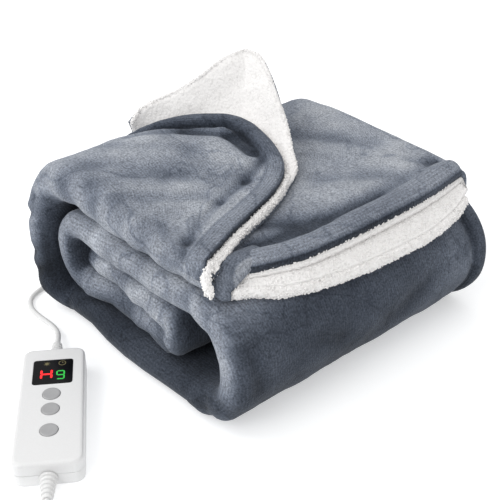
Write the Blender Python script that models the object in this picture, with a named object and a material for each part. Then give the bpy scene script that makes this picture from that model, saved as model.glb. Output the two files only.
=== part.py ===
"""Electric heated blanket: a plush throw folded into a strip and rolled flat,
with its hand controller, the short lead between them and the mains lead.

The throw's tables are in millimetres, measured from the point on the table
under the pile's front corner: x runs from the left corner to the front corner,
y from the front corner to the right corner, z up.  Every mesh is put into
metres and moved to the model's own frame when it is made.
"""
import math
from collections import namedtuple

import bmesh
import bpy
import numpy as np
from mathutils import Matrix, Vector

MM = 0.001
TURN = 2.0 * math.pi
AIR = 0.35                       # space left between pieces that touch

# The pile's front corner in the model's frame, whose origin is the middle of
# the footprint of throw and controller, on the table.
FRONT_CORNER = (125.8, -77.9)

# ---------------------------------------------------------------- the throw
SHEET = 6.2                      # flannel and sherpa together
PLY_PITCH = 7.2                  # plies of the strip, middle to middle
STRIP = 3.0 * PLY_PITCH + SHEET  # the throw folded in four across its width
LEVEL_GAP = 3.0
LEVEL_PITCH = STRIP + LEVEL_GAP
TOP_OF_PLY = STRIP / 2.0 - SHEET / 2.0
HEM_WIDTH = 23.0
EDGE_TIP = 0.9                   # how far a rounded edge reaches, in half sheets

# Folds of the strip, from its inner end outwards.  A run lies flat at one
# level and ends at x; a bend turns between two levels about x and reaches out
# by reach, rounder or boxier by its exponent.
Fold = namedtuple("Fold", "name kind low high x reach boxiness steps")
TAIL_START = -198.0
FOLDS = (
    Fold("tail", "run", 3, 3, -82.0, 0.0, 0.0, 3),
    Fold("tail_bend", "right", 3, 2, -82.0, 15.4, 2.0, 6),
    Fold("second", "run", 2, 2, -200.0, 0.0, 0.0, 3),
    Fold("cuff", "left", 2, 4, -200.0, 26.0, 2.2, 7),
    Fold("fourth", "run", 4, 4, -44.0, 0.0, 0.0, 4),
    Fold("front_wrap", "right", 4, 1, -44.0, 60.0, 2.2, 10),
    Fold("base", "run", 1, 1, -222.0, 0.0, 0.0, 4),
    Fold("left_wrap", "left", 1, 5, -222.0, 36.0, 2.6, 9),
)
LEFT_WRAP = FOLDS[-1]
LEFT_WRAP_END = math.radians(30.0)   # where the top run takes over the bend

# How the strip lies across its width.  mark is the fold's number plus the way
# along it; nose is the folded side, far the other, hem the outermost edge.
Lie = namedtuple("Lie", "mark nose far hem pitch")
LIES = (
    Lie(0.0, 1.0, 300.0, 296.0, PLY_PITCH),
    Lie(1.0, -6.0, 300.0, 296.0, PLY_PITCH),
    Lie(1.5, -8.0, 298.0, 294.0, PLY_PITCH),
    Lie(2.0, -2.0, 300.0, 296.0, PLY_PITCH),
    Lie(2.5, 4.0, 302.0, 298.0, PLY_PITCH),
    Lie(3.0, -3.0, 300.0, 296.0, PLY_PITCH),
    Lie(3.5, -9.0, 297.0, 293.0, PLY_PITCH),
    Lie(4.0, -7.0, 300.0, 296.0, PLY_PITCH),
    Lie(4.5, -8.0, 305.0, 300.0, PLY_PITCH),
    Lie(5.0, -6.0, 309.0, 303.0, 7.4),
    Lie(5.5, -10.0, 312.0, 305.0, 9.6),
    Lie(6.0, -10.0, 309.0, 303.0, 7.4),
    Lie(6.5, -12.0, 306.0, 300.0, PLY_PITCH),
    Lie(7.0, -9.0, 300.0, 292.0, PLY_PITCH),
    Lie(7.5, -22.0, 298.0, 245.0, 9.0),
    Lie(8.0, -19.0, 297.0, 84.0, 11.0),
)

# The top run, station by station.  hem is the edge of the upper pair of
# plies, pulled back across the pile in an S; rim is the outer edge of the
# turned-out ply under it, which stands up at the back as a corner.  The plies
# lie loose on the left, where the strip swells outwards.
Top = namedtuple("Top", "x nose far hem rim_x rim_y rim_z pitch")
TOP_RUN = (
    Top(-256.0, -19.0, 297.0, 84.0, -270.0, 92.0, 150.0, 11.0),
    Top(-252.0, -16.0, 299.0, 97.0, -273.0, 101.0, 158.0, 11.1),
    Top(-246.0, -13.0, 304.0, 114.0, -275.0, 110.0, 162.0, 11.2),
    Top(-239.0, -11.0, 309.0, 136.0, -274.0, 121.0, 165.0, 11.2),
    Top(-230.0, -9.0, 313.0, 160.0, -272.0, 139.0, 170.0, 11.2),
    Top(-222.0, -9.0, 315.0, 173.0, -264.0, 158.0, 176.0, 11.2),
    Top(-212.0, -8.0, 316.0, 184.0, -254.0, 187.0, 190.0, 11.2),
    Top(-204.0, -8.0, 317.0, 188.5, -249.0, 213.0, 203.0, 11.1),
    Top(-196.0, -7.0, 319.0, 191.0, -242.0, 236.0, 207.5, 11.0),
    Top(-184.0, -7.0, 320.0, 192.0, -226.0, 240.0, 206.0, 10.7),
    Top(-168.0, -7.0, 321.0, 190.0, -203.0, 233.0, 196.0, 10.0),
    Top(-150.0, -6.0, 321.0, 186.0, -176.0, 221.0, 180.0, 9.2),
    Top(-134.0, -6.0, 321.0, 180.0, -152.0, 210.0, 164.5, 8.5),
    Top(-118.0, -6.0, 321.0, 172.0, -127.0, 194.0, 149.0, 7.9),
    Top(-102.0, -5.0, 321.0, 159.0, -104.0, 177.0, 143.0, 7.4),
    Top(-90.0, -5.0, 320.0, 143.0, -86.0, 157.0, 141.0, PLY_PITCH),
    Top(-78.0, -4.0, 320.0, 121.0, -71.0, 133.0, 141.0, PLY_PITCH),
    Top(-66.0, -4.0, 320.0, 91.0, -57.0, 99.0, 141.0, PLY_PITCH),
    Top(-54.0, -3.0, 319.0, 58.0, -43.0, 63.0, 141.0, PLY_PITCH),
    Top(-42.0, -2.0, 317.0, 33.0, -30.0, 39.0, 140.7, PLY_PITCH),
    Top(-37.0, -1.0, 316.0, 23.0, -26.0, 29.0, 140.7, PLY_PITCH),
    Top(-32.0, 0.0, 315.0, 14.0, -22.0, 20.0, 138.0, PLY_PITCH),
    Top(-25.0, 3.0, 313.0, 8.0, -19.0, 10.0, 130.0, PLY_PITCH),
)
COLLAR_ROWS = slice(3, -2)       # where the turned-out ply shows

# The open front end of the top run: how far the upper and the lower ply reach
# along x at each place across the strip, and how far the lower one drops.
Mouth = namedtuple("Mouth", "y upper lower")
MOUTH = (
    Mouth(0.0, -23.0, -20.0),
    Mouth(30.0, -20.0, -12.0),
    Mouth(60.0, -10.0, 2.0),
    Mouth(100.0, -1.0, 10.0),
    Mouth(160.0, 1.0, 15.0),
    Mouth(220.0, 0.0, 16.0),
    Mouth(270.0, -4.0, 10.0),
    Mouth(300.0, -9.0, 0.0),
    Mouth(325.0, -12.0, -8.0),
)
MOUTH_ROOT = -72.0               # where the two plies start to part
SHOULDER = -44.0                 # the lower ply drops past the wrap's shoulder
DROP_CURVE = 0.0052              # by this times the distance squared

# ------------------------------------------------------------ sherpa facings
COLLAR_BACK = 3.2                # flannel layer of the turned ply
COLLAR_PILE = 4.6                # sherpa layer of it
COLLAR_ROOT = 10.0               # how far it reaches in under the hem
LIP_PILE = 4.2
LIP_PROUD = 2.5                  # how far its pile stands out of the mouth

# ------------------------------------------------------------ the controller
# It lies on its back.  Its own frame has x from the end that the mains lead
# leaves to the end that the blanket lead leaves, z up.
CONTROLLER_AT = (-42.0, -147.0)
CONTROLLER_TURN = 145.5          # degrees from the pile's x
BODY_LENGTH = 148.0
BODY_WIDTH_NEAR = 57.0
BODY_WIDTH_FAR = 54.5
BODY_CORNER = 8.5
BODY_HEIGHT = 24.0
BODY_SPLIT = 12.0
BODY_EDGE = 3.0
WINDOW_X = 113.95
WINDOW_LENGTH = 33.3
WINDOW_WIDTH = 34.2
WINDOW_CORNER = 2.4
WINDOW_DEPTH = 1.9
BUTTON_RADIUS = 7.6
BUTTON_PROUD = 0.8
BUTTON_TRAVEL = 0.6
POCKET_DEPTH = 4.0
Button = namedtuple("Button", "name x")
BUTTONS = (
    Button("button_1", 83.9),
    Button("button_2", 64.4),
    Button("button_3", 38.5),
)
RELIEF_LENGTH = 24.0
RELIEF_ROOT = 7.5
RELIEF_TIP = 4.6
RELIEF_RIBS = 5
RELIEF_HEIGHT = 9.0              # its axis above the table

# ----------------------------------------------------------------- the cords
CORD_RADIUS = 2.75
CORD_PITCH = 13.0                # a point of a tube this often
Route = namedtuple("Route", "x y z")
BLANKET_LEAD = (
    Route(-184.4, -49.1, 9.0),
    Route(-193.0, -43.2, 8.2),
    Route(-204.0, -37.0, 5.4),
    Route(-217.0, -33.6, 3.4),
    Route(-231.0, -33.4, 2.75),
    Route(-246.0, -34.2, 2.75),
    Route(-261.0, -32.0, 2.75),
    Route(-274.0, -24.0, 2.75),
    Route(-281.5, -9.0, 2.75),
    Route(-284.0, 12.0, 2.75),
    Route(-283.5, 45.0, 2.75),
    Route(-281.5, 85.0, 2.75),
    Route(-280.5, 125.0, 2.75),
    Route(-281.5, 165.0, 2.75),
    Route(-283.5, 205.0, 2.75),
    Route(-284.0, 245.0, 2.75),
    Route(-281.0, 283.0, 2.75),
    Route(-271.5, 314.0, 2.75),
    Route(-253.5, 337.5, 2.75),
    Route(-230.0, 350.5, 3.0),
    Route(-208.0, 352.5, 4.2),
    Route(-194.0, 345.0, 5.9),
    Route(-190.2, 333.0, 6.7),
    Route(-190.0, 323.8, 6.8),
)
SLEEVE_LENGTH = 22.0
SLEEVE_ROOT = 4.9
SLEEVE_TIP = 3.7
SLEEVE_AT = (-190.0, 301.0, 6.8)

# The rest of the mains lead, in the coil's own frame: x away from the
# controller, origin under the coil's middle.
COIL_AHEAD = 96.0                # coil's middle from the near end of the body
COIL_ASIDE = 35.5
COIL_RADIUS = 30.0               # middle of the turns
COIL_TURNS = 3                   # across, and as many high
COIL_LIFT = 1.9                  # it rests on its tie
COIL_EDGE = 2.4
TIE_WIDTH = 7.0
TIE_THICK = 1.2
MAINS_IN = (
    Route(-71.3, 35.5, 9.0),
    Route(-62.0, 35.5, 8.6),
    Route(-52.0, 35.5, 7.2),
    Route(-42.0, 35.5, 5.6),
    Route(-31.0, 35.5, 4.5),
    Route(-21.2, 35.5, 4.35),
)
MAINS_OUT = (
    Route(35.5, -21.2, 9.8),
    Route(35.5, -30.0, 8.4),
    Route(34.5, -42.0, 5.6),
    Route(30.0, -55.0, 5.0),
    Route(22.5, -65.5, 6.2),
)
PLUG_TURN = 233.0                # the way the plug points, from the coil's x
PLUG_AHEAD = 0.9                 # from the cord's end
PLUG_LENGTH = 30.0
PLUG_WIDTH = 24.0
PLUG_HEIGHT = 14.0
BLADE_GAP = 12.7
BLADE = (16.0, 1.5, 6.3)


def ease(t):
    t = min(1.0, max(0.0, t))
    return t * t * (3.0 - 2.0 * t)


def curve_through(xs, ys, x):
    """A smooth curve through the points of a table, read at x."""
    xs = list(xs)
    ys = list(ys)
    if x <= xs[0]:
        return ys[0]
    if x >= xs[-1]:
        return ys[-1]
    i = max(k for k in range(len(xs) - 1) if xs[k] <= x)

    def slope(k):
        if k == 0 or k == len(xs) - 1:
            return 0.0
        before = (ys[k] - ys[k - 1]) / (xs[k] - xs[k - 1])
        after = (ys[k + 1] - ys[k]) / (xs[k + 1] - xs[k])
        if before * after <= 0.0:
            return 0.0
        return 2.0 * before * after / (before + after)

    width = xs[i + 1] - xs[i]
    t = (x - xs[i]) / width
    rise = ys[i + 1] - ys[i]
    start, end = slope(i) * width, slope(i + 1) * width
    return (ys[i] + start * t + (3.0 * rise - 2.0 * start - end) * t ** 2
            + (start + end - 2.0 * rise) * t ** 3)


def read(table, key, column, x):
    return curve_through([getattr(row, key) for row in table],
                         [getattr(row, column) for row in table], x)


def level_height(level):
    return STRIP / 2.0 + (level - 1) * LEVEL_PITCH


# A place along the strip: its middle in x and z, its outward direction, how
# it lies across, how far it swells outwards, and whether it is on the top run.
Station = namedtuple("Station", "x z out_x out_z nose far hem pitch swell top")


def swell_of(pitch):
    """Keeps the innermost ply where it is when the plies lie apart."""
    return 3.0 * (pitch - PLY_PITCH)


def bend_point(fold, angle):
    low, high = sorted((level_height(fold.low), level_height(fold.high)))
    side = 1.0 if fold.kind == "right" else -1.0
    power = 2.0 / fold.boxiness
    x = fold.x + side * fold.reach * abs(math.cos(angle)) ** power
    z = ((low + high) / 2.0 + (high - low) / 2.0
         * math.copysign(abs(math.sin(angle)) ** power, math.sin(angle)))
    return x, z


def fold_points(fold, x_from):
    """Middle points of one fold with the way along it, its end left out."""
    for i in range(fold.steps):
        way = i / fold.steps
        if fold.kind == "run":
            yield way, x_from + (fold.x - x_from) * way, level_height(fold.low)
        else:
            start = math.pi / 2.0 if fold.kind == "right" else -math.pi / 2.0
            end = -start
            if fold is LEFT_WRAP:
                end = LEFT_WRAP_END
            yield (way,) + bend_point(fold, start + (end - start) * way)


def top_run_height(x):
    across = max(0.0, LEFT_WRAP.x - x) / LEFT_WRAP.reach
    low, high = level_height(LEFT_WRAP.low), level_height(LEFT_WRAP.high)
    return ((low + high) / 2.0 + (high - low) / 2.0
            * (1.0 - across ** LEFT_WRAP.boxiness) ** (1.0 / LEFT_WRAP.boxiness))


def strip_stations():
    """All stations from the strip's inner end to the mouth."""
    middles, lies = [], []
    x_from = TAIL_START
    for number, fold in enumerate(FOLDS):
        for way, x, z in fold_points(fold, x_from):
            mark = number + way
            middles.append((x, z))
            lie = [read(LIES, "mark", name, mark) for name in ("nose", "far", "hem", "pitch")]
            lies.append(lie + [swell_of(lie[3]) if fold is LEFT_WRAP else 0.0, False])
        x_from = fold.x
    for row in TOP_RUN:
        middles.append((row.x, top_run_height(row.x)))
        lies.append([row.nose, row.far, row.hem, row.pitch, swell_of(row.pitch), True])
    stations = []
    for i, (x, z) in enumerate(middles):
        before = Vector(middles[max(0, i - 1)])
        after = Vector(middles[min(len(middles) - 1, i + 1)])
        along = (after - before).normalized()
        stations.append(Station(x, z, -along.y, along.x, *lies[i]))
    return stations


def arc(middle, height, radius, start, end, steps):
    """Points of an arc across the strip, both ends included."""
    for i in range(steps + 1):
        angle = math.radians(start + (end - start) * i / steps)
        yield (middle + radius * math.cos(angle), height + radius * math.sin(angle))


ACROSS = (34.0, 70.0, 120.0, 215.0, 285.0)   # y of the points along a ply
HEM_ROLL = ((0.0, 0.75, 0.7), (5.0, 1.35, 1.0), (14.0, 1.35, 1.0), (HEM_WIDTH, 0.8, 1.0))


def across(station):
    """The cloth's middle line across the strip, as (y, out, outer, inner, ply).

    It starts at the outermost edge and follows one sheet through its four
    plies.  outer and inner are the half thicknesses on its two sides.
    """
    half = SHEET / 2.0
    pitch = station.pitch
    ply = [TOP_OF_PLY - k * pitch for k in range(4)]
    turn = station.nose + 1.5 * pitch + half
    middle = TOP_OF_PLY - 1.5 * pitch
    far_turn = station.far - 0.5 * pitch - half
    quarter = 1.5 * pitch * math.pi / 2.0
    line = []

    # outermost ply: hem, flat, and round the nose to its foremost point
    length = max(station.hem - turn + quarter, 4.0)
    shrink = min(1.0, length / 60.0)
    bend = min(quarter, 0.5 * length)
    places = [(length - d * shrink, 1.0 + (outer - 1.0) * shrink, inner)
              for d, outer, inner in HEM_ROLL]
    flat_from = length - HEM_WIDTH * shrink
    places += [(bend + (flat_from - bend) * t, 1.0, 1.0) for t in (0.66, 0.33)]
    places += [(bend, 1.0, 1.0), (bend * 0.55, 1.0, 1.0), (0.0, 1.0, 1.0)]
    for place, outer, inner in places:
        if place < quarter:
            angle = math.pi - place / (1.5 * pitch)
            y, out = turn + 1.5 * pitch * math.cos(angle), middle + 1.5 * pitch * math.sin(angle)
        else:
            y, out = turn + place - quarter, ply[0]
        line.append((y, out, outer * half, inner * half, 0))

    def add(points, number):
        line.extend((y, out, half, half, number) for y, out in points)

    add(list(arc(turn, middle, 1.5 * pitch, 180.0, 270.0, 3))[1:], 3)
    add([(y, ply[3]) for y in ACROSS], 3)
    loop = arc(far_turn, TOP_OF_PLY - 2.5 * pitch, 0.5 * pitch, -90.0, 90.0, 3)
    for step, point in enumerate(loop):
        add([point], 3.0 - step / 3.0)
    add([(y, ply[2]) for y in reversed(ACROSS)], 2)
    add(arc(turn, middle, 0.5 * pitch, 270.0, 90.0, 3), 1.5)
    inner_hem = max(station.hem - COLLAR_ROOT, turn + 2.0)
    if not station.top and station.hem > 250.0:
        inner_hem = station.hem + 2.0
    add([(turn + (inner_hem - turn) * t, ply[1]) for t in (0.35, 0.7, 1.0)], 1)
    return line


def lower_drop(x):
    return DROP_CURVE * max(0.0, x - SHOULDER) ** 2


def part_mouth(x, y, z, ply):
    """Opens the strip's front end: the lower ply reaches out and hangs."""
    if x < MOUTH_ROOT or ply <= 1:
        return x, y, z
    way = ease((x - MOUTH_ROOT) / (TOP_RUN[-1].x - MOUTH_ROOT))
    upper = read(MOUTH, "y", "upper", y) - TOP_RUN[-1].x
    lower = read(MOUTH, "y", "lower", y) - TOP_RUN[-1].x
    low = max(0.0, ply - 2.0)
    x += way * (upper + (lower - upper) * low) * min(1.0, ply - 1.0)
    return x, y, z - low * lower_drop(x)


def place(station, y, out, ply):
    """A point of the strip's section, put where the strip lies."""
    out += station.swell
    x = station.x + out * station.out_x
    z = station.z + out * station.out_z
    if station.top:
        x, y, z = part_mouth(x, y, z, ply)
    return Vector((x, y, max(z, 0.0)))


def section_ring(station):
    """The strip's closed outline at a station, with its edge's two halves."""
    line = across(station)
    outer_side, inner_side = [], []
    count = len(line)
    for i, (y, out, outer, inner, ply) in enumerate(line):
        before, after = line[max(0, i - 1)], line[min(count - 1, i + 1)]
        along = Vector((after[0] - before[0], after[1] - before[1])).normalized()
        side = Vector((along.y, -along.x))
        outer_side.append(place(station, y + side.x * outer, out + side.y * outer, ply))
        inner_side.append(place(station, y - side.x * inner, out - side.y * inner, ply))
    tips = []
    for end, neighbour in ((line[0], line[1]), (line[-1], line[-2])):
        away = Vector((end[0] - neighbour[0], end[1] - neighbour[1])).normalized()
        reach = EDGE_TIP * end[3]
        tips.append(place(station, end[0] + away.x * reach, end[1] + away.y * reach, end[4]))
    return [tips[0]] + outer_side + [tips[1]] + inner_side[::-1]


# ------------------------------------------------------------- making meshes
def material(name, colour, roughness, metallic=0.0):
    made = bpy.data.materials.new(name)
    made.use_nodes = True
    shader = made.node_tree.nodes["Principled BSDF"]
    shader.inputs["Base Color"].default_value = (*colour, 1.0)
    shader.inputs["Roughness"].default_value = roughness
    shader.inputs["Metallic"].default_value = metallic
    return made


def mesh_object(name, points, faces, finish):
    """A closed mesh from points in the throw's millimetres."""
    corner = Vector((*FRONT_CORNER, 0.0))
    mesh = bpy.data.meshes.new(name)
    mesh.from_pydata([tuple((Vector(p) + corner) * MM) for p in points], [], faces)
    shape = bmesh.new()
    shape.from_mesh(mesh)
    bmesh.ops.recalc_face_normals(shape, faces=shape.faces)
    bmesh.ops.triangulate(shape, faces=shape.faces)
    shape.to_mesh(mesh)
    shape.free()
    mesh.materials.append(finish)
    made = bpy.data.objects.new(name, mesh)
    bpy.context.scene.collection.objects.link(made)
    return made


def strip_solid(rings):
    """Faces of a swept outline whose two ends are closed edge to edge."""
    points = [p for ring in rings for p in ring]
    size = len(rings[0])
    half = size // 2
    faces = []
    for i in range(len(rings) - 1):
        for j in range(size):
            a, b = i * size + j, i * size + (j + 1) % size
            faces.append((a, b, b + size, a + size))
    for start in (0, (len(rings) - 1) * size):
        faces.append((start, start + 1, start + size - 1))
        for j in range(1, half - 1):
            faces.append((start + j, start + j + 1, start + size - j - 1, start + size - j))
        faces.append((start + half - 1, start + half, start + half + 1))
    return points, faces


def slab_solid(top, bottom):
    """A closed slab between two grids of points, row by row."""
    rows, columns = len(top), len(top[0])
    points = [p for row in top for p in row] + [p for row in bottom for p in row]
    under = rows * columns
    faces = []
    for i in range(rows - 1):
        for j in range(columns - 1):
            a = i * columns + j
            quad = (a, a + 1, a + 1 + columns, a + columns)
            faces.append(quad)
            faces.append(tuple(under + k for k in reversed(quad)))
    edge = [j for j in range(columns)]
    edge += [i * columns + columns - 1 for i in range(1, rows)]
    edge += [(rows - 1) * columns + j for j in range(columns - 2, -1, -1)]
    edge += [i * columns for i in range(rows - 2, 0, -1)]
    for k, a in enumerate(edge):
        b = edge[(k + 1) % len(edge)]
        faces.append((a, under + a, under + b, b))
    return points, faces


def grid_normals(grid):
    rows, columns = len(grid), len(grid[0])
    normals = []
    for i in range(rows):
        line = []
        for j in range(columns):
            down = grid[min(rows - 1, i + 1)][j] - grid[max(0, i - 1)][j]
            right = grid[i][min(columns - 1, j + 1)] - grid[i][max(0, j - 1)]
            normal = right.cross(down).normalized()
            line.append(normal if normal.z > 0.0 else -normal)
        normals.append(line)
    return normals


def offset_grid(grid, normals, low, high):
    top = [[p + n * high for p, n in zip(*rows)] for rows in zip(grid, normals)]
    bottom = [[p + n * low for p, n in zip(*rows)] for rows in zip(grid, normals)]
    return top, bottom


# ------------------------------------------------------- the throw's solids
def top_station(x):
    """The top run's station at any x."""
    step = 0.5
    along = Vector((2.0 * step, top_run_height(x + step) - top_run_height(x - step))).normalized()
    lie = [read(TOP_RUN, "x", name, x) for name in ("nose", "far", "hem", "pitch")]
    return Station(x, top_run_height(x), -along.y, along.x, *lie, swell_of(lie[3]), True)


def collar_grid():
    """Middle surface of the turned-out ply, a row for each of its stations."""
    rows = []
    numbers = range(len(TOP_RUN))[COLLAR_ROWS]
    for number in numbers:
        row = TOP_RUN[number]
        before, after = TOP_RUN[number - 1], TOP_RUN[number + 1]
        away = Vector((before.hem - after.hem, after.x - before.x)).normalized()
        ends = []
        for reach in (HEM_CLEAR, -COLLAR_ROOT):
            station = top_station(row.x + away.x * reach)
            ends.append(place(station, row.hem + away.y * reach, TOP_OF_PLY - station.pitch, 1))
        edge, root = ends
        rim = Vector((row.rim_x, row.rim_y, row.rim_z))
        flat = Vector((rim.x - edge.x, rim.y - edge.y, 0.0))
        knee = edge + flat.normalized() * min(KNEE, 0.4 * flat.length)
        line = [root, root.lerp(edge, 0.5), edge]
        for t in COLLAR_STEPS:
            line.append(edge.lerp(knee, t).lerp(knee.lerp(rim, t), t))
        rows.append(line)
    return rows


HEM_CLEAR = 4.4                  # from the hem's middle line to the facing
KNEE = 9.0                       # the turned ply lies flat this far, then rises
COLLAR_STEPS = (0.22, 0.45, 0.72, 1.0)
COLLAR_EDGE = 2                  # the column of the grid at the hem's edge


def throw(flannel):
    stations = strip_stations()
    rings = [section_ring(station) for station in stations]
    body = mesh_object("flannel_throw", *strip_solid(rings), flannel)
    grid = collar_grid()
    top, bottom = offset_grid(grid, grid_normals(grid), -COLLAR_BACK, 0.0)
    collar = mesh_object("turned_ply", *slab_solid(bottom, top), flannel)
    collar.hide_render = True
    collar.display_type = "WIRE"
    join = body.modifiers.new("join", "BOOLEAN")
    join.operation = "UNION"
    join.object = collar


def sherpa_corner(sherpa):
    grid = collar_grid()
    normals = grid_normals(grid)
    grid = [row[COLLAR_EDGE:] for row in grid]
    normals = [row[COLLAR_EDGE:] for row in normals]
    top, bottom = offset_grid(grid, normals, AIR, AIR + COLLAR_PILE)
    mesh_object("sherpa_corner", *slab_solid(top, bottom), sherpa)


LIP_STATIONS = (-37.0, -32.0, -25.0)


def sherpa_mouth(sherpa):
    """The facing inside the mouth: lower lip, far loop and upper lip."""
    near, away = [], []
    last = TOP_RUN[-1]
    for x, proud in [(x, 0.0) for x in LIP_STATIONS] + [(last.x, LIP_PROUD)]:
        far = read(TOP_RUN, "x", "far", x)
        station = Station(x, level_height(5), 0.0, 1.0, last.nose, far, last.hem, PLY_PITCH, 0.0, True)
        loop = far - 0.5 * PLY_PITCH - SHEET / 2.0 - 3.0 * AIR
        near_row, away_row = [], []
        for number, side in ((3, 1.0), (2, -1.0)):
            out = TOP_OF_PLY - number * PLY_PITCH + side * SHEET / 2.0
            legs = []
            for y in ACROSS + (loop,):
                face = place(station, y, out, number)
                gap = PLY_PITCH - SHEET + lower_drop(face.x)
                pile = min(LIP_PILE, (gap - 3.0 * AIR) / 2.0)
                back = pile if y == loop else 0.0
                legs.append((face + Vector((proud, 0.0, side * AIR)),
                             face + Vector((proud, -back, side * (AIR + pile)))))
            legs = legs if number == 3 else legs[::-1]
            near_row += [leg[0] for leg in legs]
            away_row += [leg[1] for leg in legs]
        near.append(near_row)
        away.append(away_row)
    mesh_object("sherpa_mouth", *slab_solid(away, near), sherpa)


# ------------------------------------------------------------ hard pieces
def holder(name, x, y, turn, parent=None):
    """An empty that carries the pieces of one thing, turned about z."""
    empty = bpy.data.objects.new(name, None)
    bpy.context.scene.collection.objects.link(empty)
    if parent is None:
        x, y = x + FRONT_CORNER[0], y + FRONT_CORNER[1]
    empty.location = Vector((x, y, 0.0)) * MM
    empty.rotation_euler = (0.0, 0.0, math.radians(turn))
    empty.parent = parent
    return empty


def add_piece(name, shape, carrier, place_at, finish, sharp=35.0):
    """Puts a bmesh in millimetres on its carrier as an object."""
    bmesh.ops.recalc_face_normals(shape, faces=shape.faces)
    bmesh.ops.scale(shape, vec=(MM, MM, MM), verts=shape.verts)
    mesh = bpy.data.meshes.new(name)
    shape.to_mesh(mesh)
    shape.free()
    mesh.shade_smooth()
    mesh.set_sharp_from_angle(angle=math.radians(sharp))
    mesh.materials.append(finish)
    made = bpy.data.objects.new(name, mesh)
    bpy.context.scene.collection.objects.link(made)
    made.parent = carrier
    made.location = Vector(place_at) * MM
    return made


def rounded_outline(length, near, far, corner, steps=5):
    """A rounded rectangle from x = 0 to its length, near and far wide."""
    points = []
    for x, width, turn in ((length, far, 0.0), (0.0, near, 90.0)):
        inner = abs(x - corner)
        sides = (-1.0, 1.0) if turn == 0.0 else (1.0, -1.0)
        for number, side in enumerate(sides):
            middle = Vector((inner, side * (width / 2.0 - corner)))
            start = {(0.0, 0): -90.0, (0.0, 1): 0.0, (90.0, 0): 90.0, (90.0, 1): 180.0}[(turn, number)]
            for x_at, y_at in arc(middle.x, middle.y, corner, start, start + 90.0, steps):
                points.append((x_at, y_at))
    return points


def slab(outline, low, high):
    """A bmesh prism of an outline from low to high."""
    shape = bmesh.new()
    floor = shape.faces.new([shape.verts.new((x, y, low)) for x, y in outline])
    raised = bmesh.ops.extrude_face_region(shape, geom=[floor])
    lifted = [v for v in raised["geom"] if isinstance(v, bmesh.types.BMVert)]
    bmesh.ops.translate(shape, verts=lifted, vec=(0.0, 0.0, high - low))
    return shape


def round_rim(shape, height, width):
    """Bevels the edges of a prism that lie at one height."""
    rim = [e for e in shape.edges if all(abs(v.co.z - height) < 1e-4 for v in e.verts)]
    bmesh.ops.bevel(shape, geom=rim, offset=width, segments=3, profile=0.5, affect="EDGES")


def turned(profile, steps=20):
    """A bmesh turned about x from (along, radius) pairs, closed at its ends."""
    shape = bmesh.new()
    rings = []
    for along, radius in profile:
        rings.append([shape.verts.new((along, radius * math.cos(TURN * k / steps),
                                       radius * math.sin(TURN * k / steps)))
                      for k in range(steps)])
    for first, second in zip(rings, rings[1:]):
        for k in range(steps):
            shape.faces.new((first[k], first[k - 1], second[k - 1], second[k]))
    shape.faces.new(rings[0])
    shape.faces.new(rings[-1][::-1])
    return shape


def cut(body, name, shape, place_at, finish):
    """Cuts a shape out of a body, both on the same carrier."""
    cutter = add_piece(name, shape, body.parent, place_at, finish)
    cutter.hide_render = True
    cutter.display_type = "WIRE"
    hole = body.modifiers.new(name, "BOOLEAN")
    hole.operation = "DIFFERENCE"
    hole.object = cutter


def relief(name, carrier, at_x, way, finish):
    """A ribbed strain relief that tapers away from the housing."""
    profile = [(0.0, RELIEF_ROOT - 0.8), (0.8, RELIEF_ROOT)]
    rib = (RELIEF_LENGTH - 3.0) / RELIEF_RIBS
    for k in range(RELIEF_RIBS):
        for part, depth in ((0.5, 0.0), (0.62, 1.3), (0.88, 1.3), (1.0, 0.0)):
            along = 0.8 + (k + part) * rib
            radius = RELIEF_ROOT + (RELIEF_TIP - RELIEF_ROOT) * along / RELIEF_LENGTH
            profile.append((along, radius - depth))
    profile += [(RELIEF_LENGTH - 0.6, RELIEF_TIP), (RELIEF_LENGTH, RELIEF_TIP - 0.6)]
    shape = turned(profile, 16)
    if way < 0.0:
        bmesh.ops.rotate(shape, matrix=Matrix.Rotation(math.pi, 3, "Z"), verts=shape.verts)
    add_piece(name, shape, carrier, (at_x, 0.0, RELIEF_HEIGHT), finish)


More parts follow.
